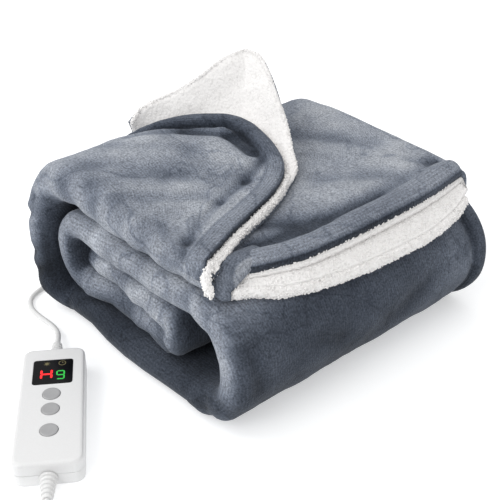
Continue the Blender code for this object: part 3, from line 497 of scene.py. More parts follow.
# A crease runs over the cloth from one point to another: a soft trough or,
# where depth is negative, a ridge.  Points are in the pile's frame.
Crease = namedtuple("Crease", "x1 y1 z1 x2 y2 z2 depth width")
CREASES = (
    # under the turned-back hem and into its pocket
    Crease(-240.0, 86.0, 156.0, -214.0, 134.0, 158.0, 4.6, 9.0),
    Crease(-214.0, 134.0, 158.0, -178.0, 163.0, 157.0, 6.2, 9.0),
    Crease(-178.0, 162.0, 156.0, -146.0, 158.0, 155.0, 7.5, 8.0),
    # behind the roll of the lower half of the S
    Crease(-130.0, 158.0, 153.0, -112.0, 122.0, 151.0, 3.6, 5.5),
    Crease(-112.0, 122.0, 151.0, -98.0, 80.0, 151.0, 3.0, 5.0),
    Crease(-98.0, 80.0, 151.0, -66.0, 17.0, 151.0, 2.8, 5.5),
    Crease(-66.0, 17.0, 151.0, -50.0, -4.0, 149.0, 2.6, 5.5),
    # soft troughs over the top
    Crease(-215.0, 20.0, 160.0, -150.0, 80.0, 157.0, 2.2, 12.0),
    Crease(-150.0, 15.0, 154.0, -112.0, 70.0, 152.0, 2.0, 9.0),
    Crease(-232.0, 60.0, 160.0, -180.0, 110.0, 158.0, 1.6, 9.0),
    Crease(-190.0, 0.0, 158.0, -176.0, 40.0, 158.0, 1.8, 7.0),
    # the hollow behind the mouth's hem
    Crease(-68.0, 92.0, 137.0, -36.0, 140.0, 137.0, 4.6, 12.0),
    Crease(-46.0, 70.0, 137.0, -34.0, 120.0, 137.0, 4.0, 8.0),
    Crease(-36.0, 140.0, 137.0, -33.0, 215.0, 137.0, 3.0, 6.0),
    Crease(-90.0, 190.0, 137.0, -50.0, 255.0, 137.0, 2.0, 12.0),
    Crease(-175.0, 240.0, 140.0, -110.0, 290.0, 138.0, 2.2, 13.0),
    Crease(-60.0, 285.0, 137.0, -28.0, 318.0, 137.0, 2.0, 6.0),
    # the left end's folds
    Crease(-282.0, -7.0, 114.0, -262.0, -18.0, 123.0, 3.0, 5.0),
    Crease(-262.0, -18.0, 123.0, -240.0, -17.0, 125.0, 3.0, 5.0),
    Crease(-290.0, -6.0, 90.0, -272.0, -20.0, 101.0, 3.2, 5.5),
    Crease(-272.0, -20.0, 101.0, -246.0, -19.0, 113.0, 3.2, 5.5),
    Crease(-286.0, -10.0, 54.0, -268.0, -21.0, 60.0, 2.4, 7.0),
    Crease(-268.0, -21.0, 60.0, -246.0, -19.0, 75.0, 2.4, 7.0),
    Crease(-278.0, -12.0, 33.0, -258.0, -20.0, 44.0, 2.0, 7.0),
    Crease(-258.0, -20.0, 44.0, -240.0, -18.0, 50.0, 2.0, 7.0),
    # the front wrap
    Crease(30.0, 20.0, 96.0, 32.0, 110.0, 60.0, 2.2, 11.0),
    Crease(22.0, 150.0, 40.0, 34.0, 240.0, 74.0, 2.2, 11.0),
    Crease(32.0, 60.0, 40.0, 30.0, 150.0, 22.0, 2.0, 9.0),
    Crease(24.0, 5.0, 110.0, 30.0, 14.0, 50.0, 2.4, 7.0),
)
# Wrinkles that run round the rolls' folded side: level, from x to x, spacing,
# depth.
Wrinkles = namedtuple("Wrinkles", "low high x1 x2 spacing depth")
WRINKLES = (
    Wrinkles(92.0, 122.0, -190.0, -10.0, 27.0, 1.1),
    Wrinkles(62.0, 91.0, -200.0, -70.0, 21.0, 1.5),
    Wrinkles(31.0, 60.0, -205.0, -60.0, 19.0, 1.9),
    Wrinkles(0.0, 30.0, -230.0, 10.0, 36.0, 1.3),
    Wrinkles(122.0, 166.0, -250.0, -40.0, 38.0, 1.0),
)
WRINKLE_REACH = 26.0             # how far the wrinkles reach in from the fold


def rumple(p, nose):
    """Height of the soft rumples of the plush at a point, in millimetres."""
    q = Vector(p)
    broad = noise.noise(q / 62.0 + Vector((3.1, 7.7, 1.3)))
    middling = noise.noise(Vector((q.x / 26.0, q.y / 34.0, q.z / 24.0)) + Vector((9.0, 2.0, 5.0)))
    small = noise.noise(q / 9.5 + Vector((1.0, 4.0, 8.0)))
    height = 2.4 * broad + 1.5 * middling + 0.5 * small
    for w in WRINKLES:
        if w.low <= q.z < w.high and w.x1 < q.x < w.x2 and q.y < nose + WRINKLE_REACH:
            sway = 9.0 * noise.noise(Vector((q.x / 40.0, w.low, q.z / 30.0)))
            wave = math.sin(TURN * (q.x + sway + 0.35 * q.z) / w.spacing)
            height += w.depth * wave * ease((nose + WRINKLE_REACH - q.y) / WRINKLE_REACH)
    return height


def creasing(p):
    """Depth of the listed creases at a point, in millimetres."""
    depth = 0.0
    for c in CREASES:
        a, b = Vector((c.x1, c.y1, c.z1)), Vector((c.x2, c.y2, c.z2))
        line = b - a
        t = min(1.0, max(0.0, (p - a).dot(line) / line.length_squared))
        gap = (p - a - line * t).length
        if gap < 2.5 * c.width:
            depth += c.depth * math.exp(-(gap / c.width) ** 2)
    return depth


class HemLine:
    """The line of a hem, which tells how far back from it a point lies."""

    def __init__(self, points):
        self.points = points
        self.tree = kdtree.KDTree(len(points))
        for i, p in enumerate(points):
            self.tree.insert(p, i)
        self.tree.balance()

    def back(self, p):
        nearest = self.tree.find(p)[1]
        best = FAR_BACK
        for i in (nearest - 1, nearest):
            if 0 <= i < len(self.points) - 1:
                a, line = self.points[i], self.points[i + 1] - self.points[i]
                t = min(1.0, max(0.0, (p - a).dot(line) / max(1e-9, line.length_squared)))
                best = min(best, (p - a - line * t).length)
        return best


def hem_back(p, ply, top, hem_line):
    """Distance from the nearest hem."""
    if ply == 0:
        return hem_line.back(p)
    if ply == 2 and top:
        return min(FAR_BACK, max(0.0, read(MOUTH, "y", "upper", p.y) - p.x))
    return FAR_BACK


def nap_of(p, normal):
    """Painted shade: darker on the faces turned along x, near the table and at the pile's left end;
    lightest on top.
    """
    front = rise(normal.x, 0.05, 0.75)
    left = rise(-normal.x, 0.25, 0.6) * (1.0 - rise(p.z, 105.0, 40.0))
    low = 1.0 - rise(p.z, 24.0, 52.0)
    end = rise(-p.x, 234.0, 16.0) * (1.0 - rise(p.y, 22.0, 15.0)) * (1.0 - rise(p.z, 62.0, 42.0))
    front_dark = 0.76 - 0.16 * rise(p.y, 180.0, 90.0)
    return ((1.0 - front_dark * front) * (1.0 - 0.5 * left)
            * (1.0 - (0.84 - 0.46 * front) * low) * (1.0 - 0.45 * end))


def feel(made, **felt):
    """Writes what the flannel's finish reads at each point of a piece."""
    for name, values in felt.items():
        made.data.attributes.new(name, "FLOAT", "POINT").data.foreach_set("value", values)


NOSE_SIDE = 24.0                 # the folded side's reach, where all plies show
HIDDEN_RUMPLES = 0.25            # share of the rumples where the cloth is covered
MOUTH_RUMPLES = 0.8
INNER_CREASE = 0.7               # share of a crease on the cloth's inner side
HEM_SHADE_REACH = 22.0             # painted shade on the hem, back from its edge
MOUTH_LIGHTER_REACH = 34.0
MOUTH_HEM_SCALE = 0.62           # the mouth's hem is wider than the other
# the mouth's hem is made lighter by this share
MOUTH_HEM_LIGHTER = 1.2
LOOSE_FROM = -110.0              # left of here the plies leave room for creases
DEEPEST = 8.0
DEEPEST_TIGHT = 5.0
DEEPEST_MOUTH = 5.2


def cloth_height(p, back, ply, station, by_nose):
    """How far the flannel stands off its flat sheet at a point."""
    over = ply == 2 and station.top
    shows = ply == 0 or over or by_nose
    share = MOUTH_RUMPLES if over else 1.0 if shows else HIDDEN_RUMPLES
    height = rumple(p, station.nose) * share * ease(back / 30.0 + 0.15)
    roll = read(MOUTH_ROLL if over else HEM_ROLL, "back", "height", back)
    if ply == 0 and roll < 0.0 and station.top:
        roll *= 2.1 - 1.75 * rise(p.x, -165.0, 55.0)
    height += roll - (creasing(p) if shows else 0.0)
    if over:
        height = max(-DEEPEST_MOUTH, height * ease((p.y - station.hem + 6.0) / 10.0))
    if not by_nose and (not station.top or station.x > LOOSE_FROM):
        height = max(-DEEPEST_TIGHT, height)
    return max(-DEEPEST, height)


def cloth_nap(p, normal, back, ply, station):
    """Painted shade at a point, with the hem's own: darker where the S is rolled tight, and the mouth's
    hem lighter.
    """
    nap = nap_of(p, normal)
    if station.top and ply == 0 and back < HEM_SHADE_REACH:
        return nap * (0.62 + 0.55 * rise(p.x, -175.0, 80.0))
    if station.top and ply == 2 and back < MOUTH_LIGHTER_REACH:
        return nap * MOUTH_HEM_LIGHTER
    return nap


def turn_outwards(mesh):
    """Turns all faces round if the closed shape is inside out."""
    shape = bmesh.new()
    shape.from_mesh(mesh)
    if shape.calc_volume(signed=True) < 0.0:
        mesh.flip_normals()
    shape.free()
    mesh.update()


def throw(flannel, sherpa):
    """The whole sheet, folded and rolled, with its rumples."""
    rings, marks = [], []
    for station in strip_stations():
        points, kinds = section_ring(station)
        rings.append(points)
        marks += [(*kind, station) for kind in kinds]
    points = [p for ring in rings for p in ring]
    made = mesh_object("flannel_throw_cloth", points, strip_faces(len(rings), len(rings[0])),
                       flannel, sherpa, turn_out=False)
    mesh = made.data
    turn_outwards(mesh)

    hem_line = HemLine([ring[0] for ring in rings])
    normals = [v.normal.copy() for v in mesh.vertices]
    felt = {name: [0.0] * len(points) for name in ("hem_back", "lift", "nap")}
    for i, (vertex, normal, p, mark) in enumerate(zip(mesh.vertices, normals, points, marks)):
        side, ply, _, station = mark
        back = hem_back(p, ply, station.top, hem_line)
        felt["hem_back"][i] = back * (MOUTH_HEM_SCALE if ply == 2 else 1.0)
        # painted shade: darker by how the cloth faces and how low it lies
        felt["nap"][i] = cloth_nap(p, normal, back, ply, station)
        by_nose = p.y < station.nose + NOSE_SIDE and ply in (0, 3)
        if side > 0.5:
            height = cloth_height(p, back, ply, station, by_nose)
            # the height is kept to paint shade in creases and grooves and light on the rolls
            felt["lift"][i] = height
            moved = p + normal * height
            moved.z = max(0.0, moved.z)
        elif ply == 0 and station.top or by_nose:
            moved = p + normal * INNER_CREASE * creasing(p)
        else:
            continue
        vertex.co = (moved + FRONT_CORNER) * MM
    feel(made, **felt)

    uv = mesh.uv_layers.new(name="cloth")
    for loop in mesh.loops:
        _, _, way, station = marks[loop.vertex_index]
        uv.data[loop.index].uv = (way * MM, station.along * MM)
    for face in mesh.polygons:
        face.material_index = 1 if all(marks[v][0] < 0.5 for v in face.vertices) else 0
    mesh.update()
    return made


# --------------------------------------------------------------- materials
class Wiring:
    """Short ways to add shader nodes and join them."""

    def __init__(self, tree):
        self.nodes, self.links = tree.nodes, tree.links

    def join(self, source, target):
        self.links.new(source, target)

    def node(self, kind, **values):
        """A node with its inputs set or joined, by name or as in0, in1 and so on."""
        node = self.nodes.new("ShaderNode" + kind)
        for name, value in values.items():
            if name.startswith("in"):
                socket = node.inputs[int(name[2:])]
            else:
                socket = node.inputs[name.replace("_", " ")]
            if isinstance(value, bpy.types.NodeSocket):
                self.join(value, socket)
            else:
                socket.default_value = value
        return node

    def where(self, which="Object"):
        return self.node("TexCoord").outputs[which]

    def attribute(self, name):
        node = self.nodes.new("ShaderNodeAttribute")
        node.attribute_name = name
        return node.outputs["Fac"]

    def mottle(self, scale, detail, roughness=0.5, distortion=0.0, vector=None):
        return self.node("TexNoise", Vector=vector or self.where(), Scale=scale, Detail=detail,
                         Roughness=roughness, Distortion=distortion).outputs["Fac"]

    def sums(self, operation, a, b=0.0, c=0.0):
        node = self.node("Math", in0=a, in1=b, in2=c)
        node.operation = operation
        return node.outputs[0]

    def span(self, value, low, high, to_low, to_high):
        return self.node("MapRange", Value=value, From_Min=low, From_Max=high,
                         To_Min=to_low, To_Max=to_high).outputs["Result"]

    def ramp(self, value, *stops):
        node = self.node("ValToRGB", Fac=value)
        line = node.color_ramp
        while len(line.elements) < len(stops):
            line.elements.new(0.5)
        for element, (at, colour) in zip(line.elements, stops):
            element.position, element.color = at, (*colour, 1.0)
        return node.outputs["Color"]

    def vector(self, operation, colour, by, socket):
        node = self.nodes.new("ShaderNodeVectorMath")
        node.operation = operation
        self.join(colour, node.inputs[0])
        self.join(by, node.inputs[socket])
        return node.outputs["Vector"]

    def dim(self, colour, by):
        return self.vector("SCALE", colour, by, "Scale")

    def tint(self, colour, by):
        return self.vector("MULTIPLY", colour, by, 1)


class Finish(Wiring):
    """A material under construction."""

    def __init__(self, name):
        self.made = bpy.data.materials.new(name)
        self.made.use_nodes = True
        super().__init__(self.made.node_tree)
        self.shader = self.nodes["Principled BSDF"]

    def fix(self, **values):
        for name, value in values.items():
            self.shader.inputs[name.replace("_", " ")].default_value = value

    def bump(self, height, distance, strength=1.0):
        node = self.node("Bump", Height=height, Distance=distance, Strength=strength)
        self.join(node.outputs["Normal"], self.shader.inputs["Normal"])


RIB_PITCH = 2.4                  # of the fine ribs along the hem, in millimetres
WALE_PITCH = 0.0026              # of the rows that show in the pile, in metres


def flannel_material():
    """Dark plush with a nap that lies in patches and a ribbed hem, with painted shade and painted light
    from the cloth's height and from the way it faces.
    """
    f = Finish("flannel_plush")
    at = f.where()
    patches = f.mottle(24.0, 6.0, 0.66, 0.3, at)
    broad = f.mottle(7.0, 2.0, 0.5, 0.0, at)
    nap = f.sums("MULTIPLY_ADD", broad, 0.5, f.sums("MULTIPLY", patches, 0.5))
    tone = f.ramp(nap, (0.37, (0.225, 0.245, 0.284)), (0.50, (0.338, 0.360, 0.400)),
                  (0.62, (0.425, 0.446, 0.484)))
    streak = f.sums("ABSOLUTE", f.sums("SUBTRACT", f.mottle(9.0, 3.0, 0.6, 0.6, at), 0.47))
    streaks = f.span(streak, 0.0, 0.018, 0.72, 1.0)
    fibre = f.mottle(560.0, 3.0, 0.65, 0.0, at)
    speckle = f.span(fibre, 0.3, 0.7, 0.50, 1.50)
    row = f.node("SeparateXYZ", in0=f.where("UV")).outputs["X"]
    row = f.sums("MULTIPLY_ADD", row, TURN / WALE_PITCH, f.sums("MULTIPLY", f.mottle(90.0, 2.0), 9.0))
    wales = f.sums("SINE", row)
    # painted shade in creases and grooves, painted light on raised rolls, read from the cloth's height
    lift = f.span(f.attribute("lift"), -5.0, 2.5, 0.16, 1.12)
    back = f.attribute("hem_back")
    hem = f.span(back, 17.5, 20.5, 1.0, 0.0)
    band = f.sums("MULTIPLY_ADD", hem, -0.52, 1.0)
    ribs = f.sums("SINE", f.sums("MULTIPLY", back, TURN / RIB_PITCH))
    ribs = f.sums("MULTIPLY", ribs, hem)
    lines = f.sums("MULTIPLY_ADD", ribs, 0.11, f.sums("MULTIPLY_ADD", wales, 0.10, 1.0))
    # the nap's own streaks, the hem, and the painted shade darken the tone together
    shade = f.sums("MULTIPLY", f.sums("MULTIPLY", streaks, lift),
                   f.sums("MULTIPLY", band, f.attribute("nap")))
    # painted shade turns bluer as it darkens
    shade_tint = f.ramp(shade, (0.12, (0.80, 0.90, 1.08)), (0.90, (1.0, 1.0, 1.0)))
    tone = f.tint(f.dim(tone, shade), shade_tint)
    f.join(f.dim(tone, f.sums("MULTIPLY", speckle, lines)), f.shader.inputs["Base Color"])
    pile = f.mottle(150.0, 3.0, 0.55, 0.0, at)
    height = f.sums("MULTIPLY_ADD", fibre, 0.6, pile)
    height = f.sums("MULTIPLY_ADD", wales, 0.06, height)
    f.bump(f.sums("MULTIPLY_ADD", ribs, 0.09, height), 0.0012, 0.8)
    f.fix(Roughness=0.92, Sheen_Weight=0.14, Sheen_Roughness=0.4,
          Sheen_Tint=(0.88, 0.93, 1.0, 1.0), Specular_IOR_Level=0.12)
    return f.made


def sherpa_material():
    """White curly pile."""
    f = Finish("sherpa_pile")
    at = f.where()
    curls = f.mottle(300.0, 3.0, 0.55, 1.4, at)
    knots = f.node("TexVoronoi", Vector=at, Scale=330.0).outputs["Distance"]
    height = f.sums("MULTIPLY_ADD", knots, -0.8, curls)
    f.join(f.ramp(curls, (0.28, (0.72, 0.705, 0.69)), (0.5, (0.875, 0.86, 0.85))),
           f.shader.inputs["Base Color"])
    f.bump(height, 0.0012, 0.55)
    f.fix(Roughness=0.95, Sheen_Weight=0.25)
    return f.made


def grain_group():
    """A fine grain, shared by the mouldings and the sheaths."""
    group = bpy.data.node_groups.new("moulded_grain", "ShaderNodeTree")
    for name, kind, way in (("Colour", "Color", "INPUT"), ("Scale", "Float", "INPUT"),
                            ("Depth", "Float", "INPUT"), ("Colour", "Color", "OUTPUT"),
                            ("Height", "Float", "OUTPUT")):
        group.interface.new_socket(name=name, in_out=way, socket_type="NodeSocket" + kind)
    g = Wiring(group)
    given, put_out = g.nodes.new("NodeGroupInput"), g.nodes.new("NodeGroupOutput")
    grain = g.mottle(given.outputs["Scale"], 2.0)
    dark = g.sums("SUBTRACT", 1.0, given.outputs["Depth"])
    g.join(g.dim(given.outputs["Colour"], g.span(grain, 0.3, 0.7, dark, 1.0)), put_out.inputs["Colour"])
    g.join(grain, put_out.inputs["Height"])
    return group


GRAIN = grain_group()
GRAIN_SCALE = 900.0


def plain_material(name, colour, roughness, metallic=0.0, depth=0.0):
    """A smooth finish with a fine grain in its colour."""
    f = Finish(name)
    f.fix(Roughness=roughness, Metallic=metallic)
    node = f.nodes.new("ShaderNodeGroup")
    node.node_tree = GRAIN
    for socket, value in (("Colour", (*colour, 1.0)), ("Scale", GRAIN_SCALE), ("Depth", depth)):
        node.inputs[socket].default_value = value
    f.join(node.outputs["Colour"], f.shader.inputs["Base Color"])
    f.bump(node.outputs["Height"], 0.0001, 0.3)
    return f.made


def brushed_material():
    """Grey buttons turned in fine rings."""
    f = Finish("button_brushed")
    node = f.node("TexWave", Vector=f.where("UV"), Scale=390.0)
    node.wave_type, node.rings_direction = "RINGS", "Z"
    rings = node.outputs["Fac"]
    f.join(f.ramp(rings, (0.0, (0.33, 0.33, 0.335)), (1.0, (0.43, 0.43, 0.435))),
           f.shader.inputs["Base Color"])
    f.bump(rings, 0.0001, 0.6)
    f.fix(Roughness=0.38, Metallic=0.15)
    return f.made


def glass_material():
    """The display's black window, faintly smeared."""
    f = Finish("display_glass")
    f.join(f.ramp(f.mottle(700.0, 2.0), (0.3, (0.003, 0.003, 0.004)), (0.7, (0.006, 0.006, 0.007))),
           f.shader.inputs["Base Color"])
    f.join(f.span(f.mottle(60.0, 3.0), 0.3, 0.7, 0.08, 0.2), f.shader.inputs["Roughness"])
    f.fix(Specular_IOR_Level=0.12)
    return f.made


def lit_material(name, colour, strength):
    """A lit sign or figure on the display."""
    f = Finish(name)
    f.join(f.ramp(f.mottle(500.0, 2.0), (0.3, tuple(0.8 * c for c in colour)), (0.7, colour)),
           f.shader.inputs["Base Color"])
    f.fix(Roughness=0.4, Emission_Color=(*colour, 1.0), Emission_Strength=strength)
    return f.made


# ----------------------------------------------------------- sherpa facings
COLLAR_ROWS = slice(2, -1)       # where the turned-out ply shows
COLLAR_BACK = 3.2                # flannel layer of the turned ply
COLLAR_PILE = 4.6                # sherpa layer of it
COLLAR_ROOT = 10.0               # how far it reaches in under the hem
HEM_CLEAR = 4.4                  # from the hem's middle line to the facing
KNEE = 9.0                       # the turned ply lies flat this far, then rises
AIR = 0.35                       # between the cloth and a facing
LIP_PILE = 4.2
LIP_PROUD = 2.5
LIP_FROM = -37.0                 # where the mouth's facing starts
LIP_Y = (34.0, 285.0)            # and its two ends across the strip
LIP_ROWS = 8                     # along the strip, up to the mouth's edge
LIP_PLACES = 90                  # across it
HEM_SPAN = 4.0                   # the hem's direction is taken over twice this
# flat painted shade on the turned ply's flannel back
TURNED_SHADE = 0.6


def top_station(x):
    """The top run's station at any x."""
    step = 0.5
    along = Vector((2.0 * step, top_run_height(x + step) - top_run_height(x - step))).normalized()
    lie = lie_at(TOP_RUN, "x", x)
    return Station(x, top_run_height(x), -along.y, along.x, *lie, swell_of(lie[3]), True, 0.0)


def mouth_station(x):
    """A level station in the mouth, where the top run has its last lie."""
    last = TOP_RUN[-1]
    return Station(x, level_height(5), 0.0, 1.0, last.nose, last.far, last.hem, PLY_PITCH, 0.0, True, 0.0)


def away_from_hem(x):
    """The way straight out from the turned-back hem, seen from above."""
    before, after = (read(TOP_RUN, "x", "hem", x + step) for step in (-HEM_SPAN, HEM_SPAN))
    return Vector((before - after, 2.0 * HEM_SPAN)).normalized()


def collar_rows(fine):
    """The rows of the turned-out ply with smooth rows put in between."""
    shown = TOP_RUN[COLLAR_ROWS]
    for row, following in zip(shown, shown[1:]):
        yield row
        for k in range(1, fine):
            x = row.x + (following.x - row.x) * k / fine
            yield Top(x, *[read(TOP_RUN, "x", name, x) for name in Top._fields[1:]])
    yield shown[-1]


def collar_grid(fine=5, steps=16):
    """Middle surface of the turned-out ply, row by row along the hem."""
    grid = []
    for row in collar_rows(fine):
        away = away_from_hem(row.x)
        ends = []
        for reach in (HEM_CLEAR, -COLLAR_ROOT):
            station = top_station(row.x + away.x * reach)
            ends.append(place(station, row.hem + away.y * reach, TOP_OF_PLY - station.pitch, 1))
        edge, root = ends
        rim = Vector((row.rim_x, row.rim_y, row.rim_z))
        flat = Vector((rim.x - edge.x, rim.y - edge.y, 0.0))
        knee = edge + flat.normalized() * min(KNEE, 0.4 * flat.length)
        line = [root, root.lerp(edge, 0.5), edge]
        for k in range(1, steps + 1):
            t = k / steps
            line.append(edge.lerp(knee, t).lerp(knee.lerp(rim, t), t))
        grid.append(line)
    return grid


def grid_normals(grid):
    """Upward normals of a surface given row by row."""
    rows, columns = len(grid), len(grid[0])
    normals = []
    for i in range(rows):
        line = []
        for j in range(columns):
            down = grid[min(rows - 1, i + 1)][j] - grid[max(0, i - 1)][j]
            right = grid[i][min(columns - 1, j + 1)] - grid[i][max(0, j - 1)]
            normal = right.cross(down).normalized()
            line.append(normal if normal.z > 0.0 else -normal)
        normals.append(line)
    return normals


def slab_between(name, top, bottom, finish):
    """A closed piece between two surfaces given row by row."""
    points = [p for row in top for p in row] + [p for row in bottom for p in row]
    return mesh_object(name, points, slab_faces(len(top), len(top[0])), finish)


def off(grid, normals, height):
    """The grid moved along its normals by one height."""
    return [[p + n * height for p, n in zip(*rows)] for rows in zip(grid, normals)]


def collar(flannel, sherpa):
    """The turned-out ply: its flannel back and its sherpa face."""
    grid = collar_grid()
    normals = grid_normals(grid)
    back = slab_between("turned_ply_back", grid, off(grid, normals, -COLLAR_BACK), flannel)
    count = len(back.data.vertices)
    # its flannel back gets a flat painted shade
    feel(back, hem_back=[FAR_BACK] * count, lift=[0.0] * count, nap=[TURNED_SHADE] * count)
    grid, normals = [row[2:] for row in grid], [row[2:] for row in normals]
    top = []
    for row, ns in zip(grid, normals):
        line = []
        for j, (p, n) in enumerate(zip(row, ns)):
            along = (j + 0.6) / len(row)
            pile = COLLAR_PILE * (0.72 + 0.28 * min(1.0, 3.0 * along, 4.0 * (1.0 - along) + 0.4))
            pile += 0.7 * noise.noise(p / 3.1) + 0.4 * noise.noise(p / 1.7)
            pile += 2.0 * noise.noise(Vector((p.x / 24.0 - p.z / 30.0, p.y / 30.0 + p.z / 60.0, 0.5)))
            line.append(p + n * (AIR + pile))
        top.append(line)
    bottom = off(grid, normals, AIR)
    face = slab_between("sherpa_corner_pile", top, bottom, sherpa)
    rim = [p.lerp(q, 0.5) for p, q in zip(top[0][1:-1], bottom[0][1:-1])]
    rim += [row[-1].lerp(low[-1], 0.5) for row, low in zip(top, bottom)]
    return back, face, rim


# ------------------------------------------------------------- sherpa edges
CURL_STEP = 1.9                  # between neighbouring curls along an edge
CURL_SIZE = 1.5
EDGE_SIDES = 10
LINE_STEPS = 12                  # between neighbouring points of a smooth line
CURL_BALL = bmesh.new()
bmesh.ops.create_icosphere(CURL_BALL, subdivisions=1, radius=1.0)
CURL_POINTS = [v.co.copy() for v in CURL_BALL.verts]
CURL_FACES = [tuple(v.index for v in face.verts) for face in CURL_BALL.faces]
CURL_BALL.free()


def even_path(points, step):
    """The same line with points every so often."""
    run = [0.0]
    for a, b in zip(points, points[1:]):
        run.append(run[-1] + (b - a).length)
    count = max(2, round(run[-1] / step))
    placed, k = [], 0
    for i in range(count + 1):
        along = run[-1] * i / count
        while k < len(run) - 2 and run[k + 1] < along:
            k += 1
        t = (along - run[k]) / max(1e-9, run[k + 1] - run[k])
        placed.append(points[k].lerp(points[k + 1], min(1.0, t)))
    return placed


def smooth_line(route):
    """Many points on a smooth curve through a route's points."""
    points = [Vector(p) for p in route]
    ends = [2.0 * points[0] - points[1]] + points + [2.0 * points[-1] - points[-2]]
    fine = []
    for a, b, c, d in zip(ends, ends[1:], ends[2:], ends[3:]):
        for k in range(LINE_STEPS):
            t = k / LINE_STEPS
            fine.append(0.5 * (2.0 * b + (c - a) * t + (2.0 * a - 5.0 * b + 4.0 * c - d) * t ** 2
                               + (3.0 * b - a - 3.0 * c + d) * t ** 3))
    fine.append(points[-1])
    return fine


def along_line(line, i):
    return (line[min(len(line) - 1, i + 1)] - line[max(0, i - 1)]).normalized()


def fluffy_edge(name, path, radius, finish, rng, around, curl=CURL_SIZE):
    """A lumpy roll of pile along an edge, with loose curls all over it."""
    line = even_path(path, CURL_STEP)
    frames = []
    for i, p in enumerate(line):
        along = along_line(line, i)
        side = along.cross(Vector((0.0, 0.0, 1.0))).normalized()
        taper = min(1.0, 0.45 + 0.2 * i, 0.45 + 0.2 * (len(line) - 1 - i))
        frames.append((p, along, side, side.cross(along), taper))
    points = []
    for p, _, side, up, taper in frames:
        for k in range(EDGE_SIDES):
            angle = TURN * k / EDGE_SIDES
            way = side * math.cos(angle) + up * math.sin(angle)
            size = radius * taper * (1.0 + 0.25 * noise.noise((p + way * radius) / 2.7))
            points.append(p + way * size)
    faces = tube_faces(len(line), EDGE_SIDES)
    for p, along, side, up, taper in frames:
        for k in range(around):
            angle = TURN * (k + rng.random()) / around
            way = side * math.cos(angle) + up * math.sin(angle)
            at = p + along * rng.uniform(-0.9, 0.9) + way * radius * taper * rng.uniform(0.85, 1.12)
            add_curl(points, faces, at, curl * rng.uniform(0.55, 1.15), rng)
    return mesh_object(name, points, faces, finish)


def add_curl(points, faces, at, size, rng):
    """One small soft lump of pile, turned and squeezed at random."""
    angle = rng.uniform(0.0, TURN)
    axis = Vector((rng.uniform(-1, 1), rng.uniform(-1, 1), 0.3))
    turn = Matrix.Rotation(angle, 3, axis)
    squeeze = Vector((1.0, rng.uniform(0.6, 1.0), rng.uniform(0.5, 0.8)))
    start = len(points)
    points.extend(at + turn @ (p * squeeze * size) for p in CURL_POINTS)
    faces.extend(tuple(start + k for k in face) for face in CURL_FACES)


def mouth_facing(sherpa):
    """The facing inside the mouth: lower lip, far loop and upper lip."""
    last = TOP_RUN[-1].x
    rows = [(LIP_FROM + (last - LIP_FROM) * k / LIP_ROWS, 0.0) for k in range(LIP_ROWS + 1)]
    rows += [(last, LIP_PROUD * 0.6), (last, LIP_PROUD)]
    ys = [LIP_Y[0] + (LIP_Y[1] - LIP_Y[0]) * k / LIP_PLACES for k in range(LIP_PLACES + 1)]
    near, away = [], []
    for x, proud in rows:
        station = mouth_station(x)
        loop = read(TOP_RUN, "x", "far", x) - 0.5 * PLY_PITCH - SHEET / 2.0 - 3.0 * AIR
        near_row, away_row = [], []
        for number, side in ((3, 1.0), (2, -1.0)):
            out = TOP_OF_PLY - number * PLY_PITCH + side * SHEET / 2.0
            legs = []
            for y in ys + [loop - 8.0, loop - 3.0, loop]:
                face = place(station, y, out, number)
                pile = lip_pile(face.x)
                back = pile if y == loop else 0.0
                wave = 0.7 * noise.noise(face / 3.0 + Vector((0.0, 0.0, 3.0 * number)))
                legs.append((face + Vector((proud, 0.0, side * AIR)),
                             face + Vector((proud + wave, -back, side * (AIR + pile + 0.4 * wave)))))
            if number == 2:
                legs.reverse()
            near_row += [leg[0] for leg in legs]
            away_row += [leg[1] for leg in legs]
        near.append(near_row)
        away.append(away_row)
    return slab_between("sherpa_mouth_pile", away, near, sherpa)


def lip_pile(x):
    """How thick the facing's pile can be between the two plies."""
    return min(LIP_PILE, (PLY_PITCH - SHEET + lower_drop(x) - 3.0 * AIR) / 2.0)


LIP_STEPS = 120
LOWER_LIP = (2.6, 0.9, 16.0, 296.0)      # ahead, up, from y, to y
UPPER_LIP = (-2.2, -6.0, 20.0, 302.0)


def lip_path(number, ahead, up, start, end):
    """The edge of one ply of the mouth, moved ahead and up."""
    station = mouth_station(TOP_RUN[-1].x)
    out = TOP_OF_PLY - number * PLY_PITCH
    return [place(station, start + (end - start) * k / LIP_STEPS, out, number) + Vector((ahead, 0.0, up))
            for k in range(LIP_STEPS + 1)]


# The pile under the turned-back hem runs along it from x to x and ends over
# the strip's folded side.
STRIP_FROM, STRIP_TO = -240.0, -35.0
NOSE_STRIP = ((-30.0, 9.0, 145.0), (-25.5, 4.0, 142.0), (-22.0, 1.0, 137.5), (-18.0, 0.0, 132.5),
              (-13.5, -0.8, 129.3))
STRIP_ASIDE = 2.6                # from the hem's edge
STRIP_UNDER = 4.6


def strip_path():
    """The sherpa's edge along the turned-back hem and over the nose."""
    path = []
    for k in range(round((STRIP_TO - STRIP_FROM) / TOP_STEP) + 1):
        x = STRIP_FROM + TOP_STEP * k
        aside = away_from_hem(x) * STRIP_ASIDE
        path.append(place(top_station(x + aside.x), read(TOP_RUN, "x", "hem", x) + aside.y,
                          TOP_OF_PLY - STRIP_UNDER, 0))
    return path[:-1] + smooth_line(path[-1:] + list(NOSE_STRIP))


LIP_CURLS = 1500
CURLS_Y = (22.0, 292.0)
CURLS_IN = 11.7                  # how far in from the edge they lie


def lip_curls(finish, rng):
    """Loose curls all over the mouth's lower facing."""
    points, faces = [], []
    out = TOP_OF_PLY - 3.0 * PLY_PITCH + SHEET / 2.0
    for _ in range(LIP_CURLS):
        y = rng.uniform(*CURLS_Y)
        at = place(mouth_station(TOP_RUN[-1].x - CURLS_IN * rng.random()), y, out, 3)
        at.z += lip_pile(at.x)
        add_curl(points, faces, at, CURL_SIZE * rng.uniform(0.6, 1.1), rng)
    return mesh_object("lower_face_curls", points, faces, finish)


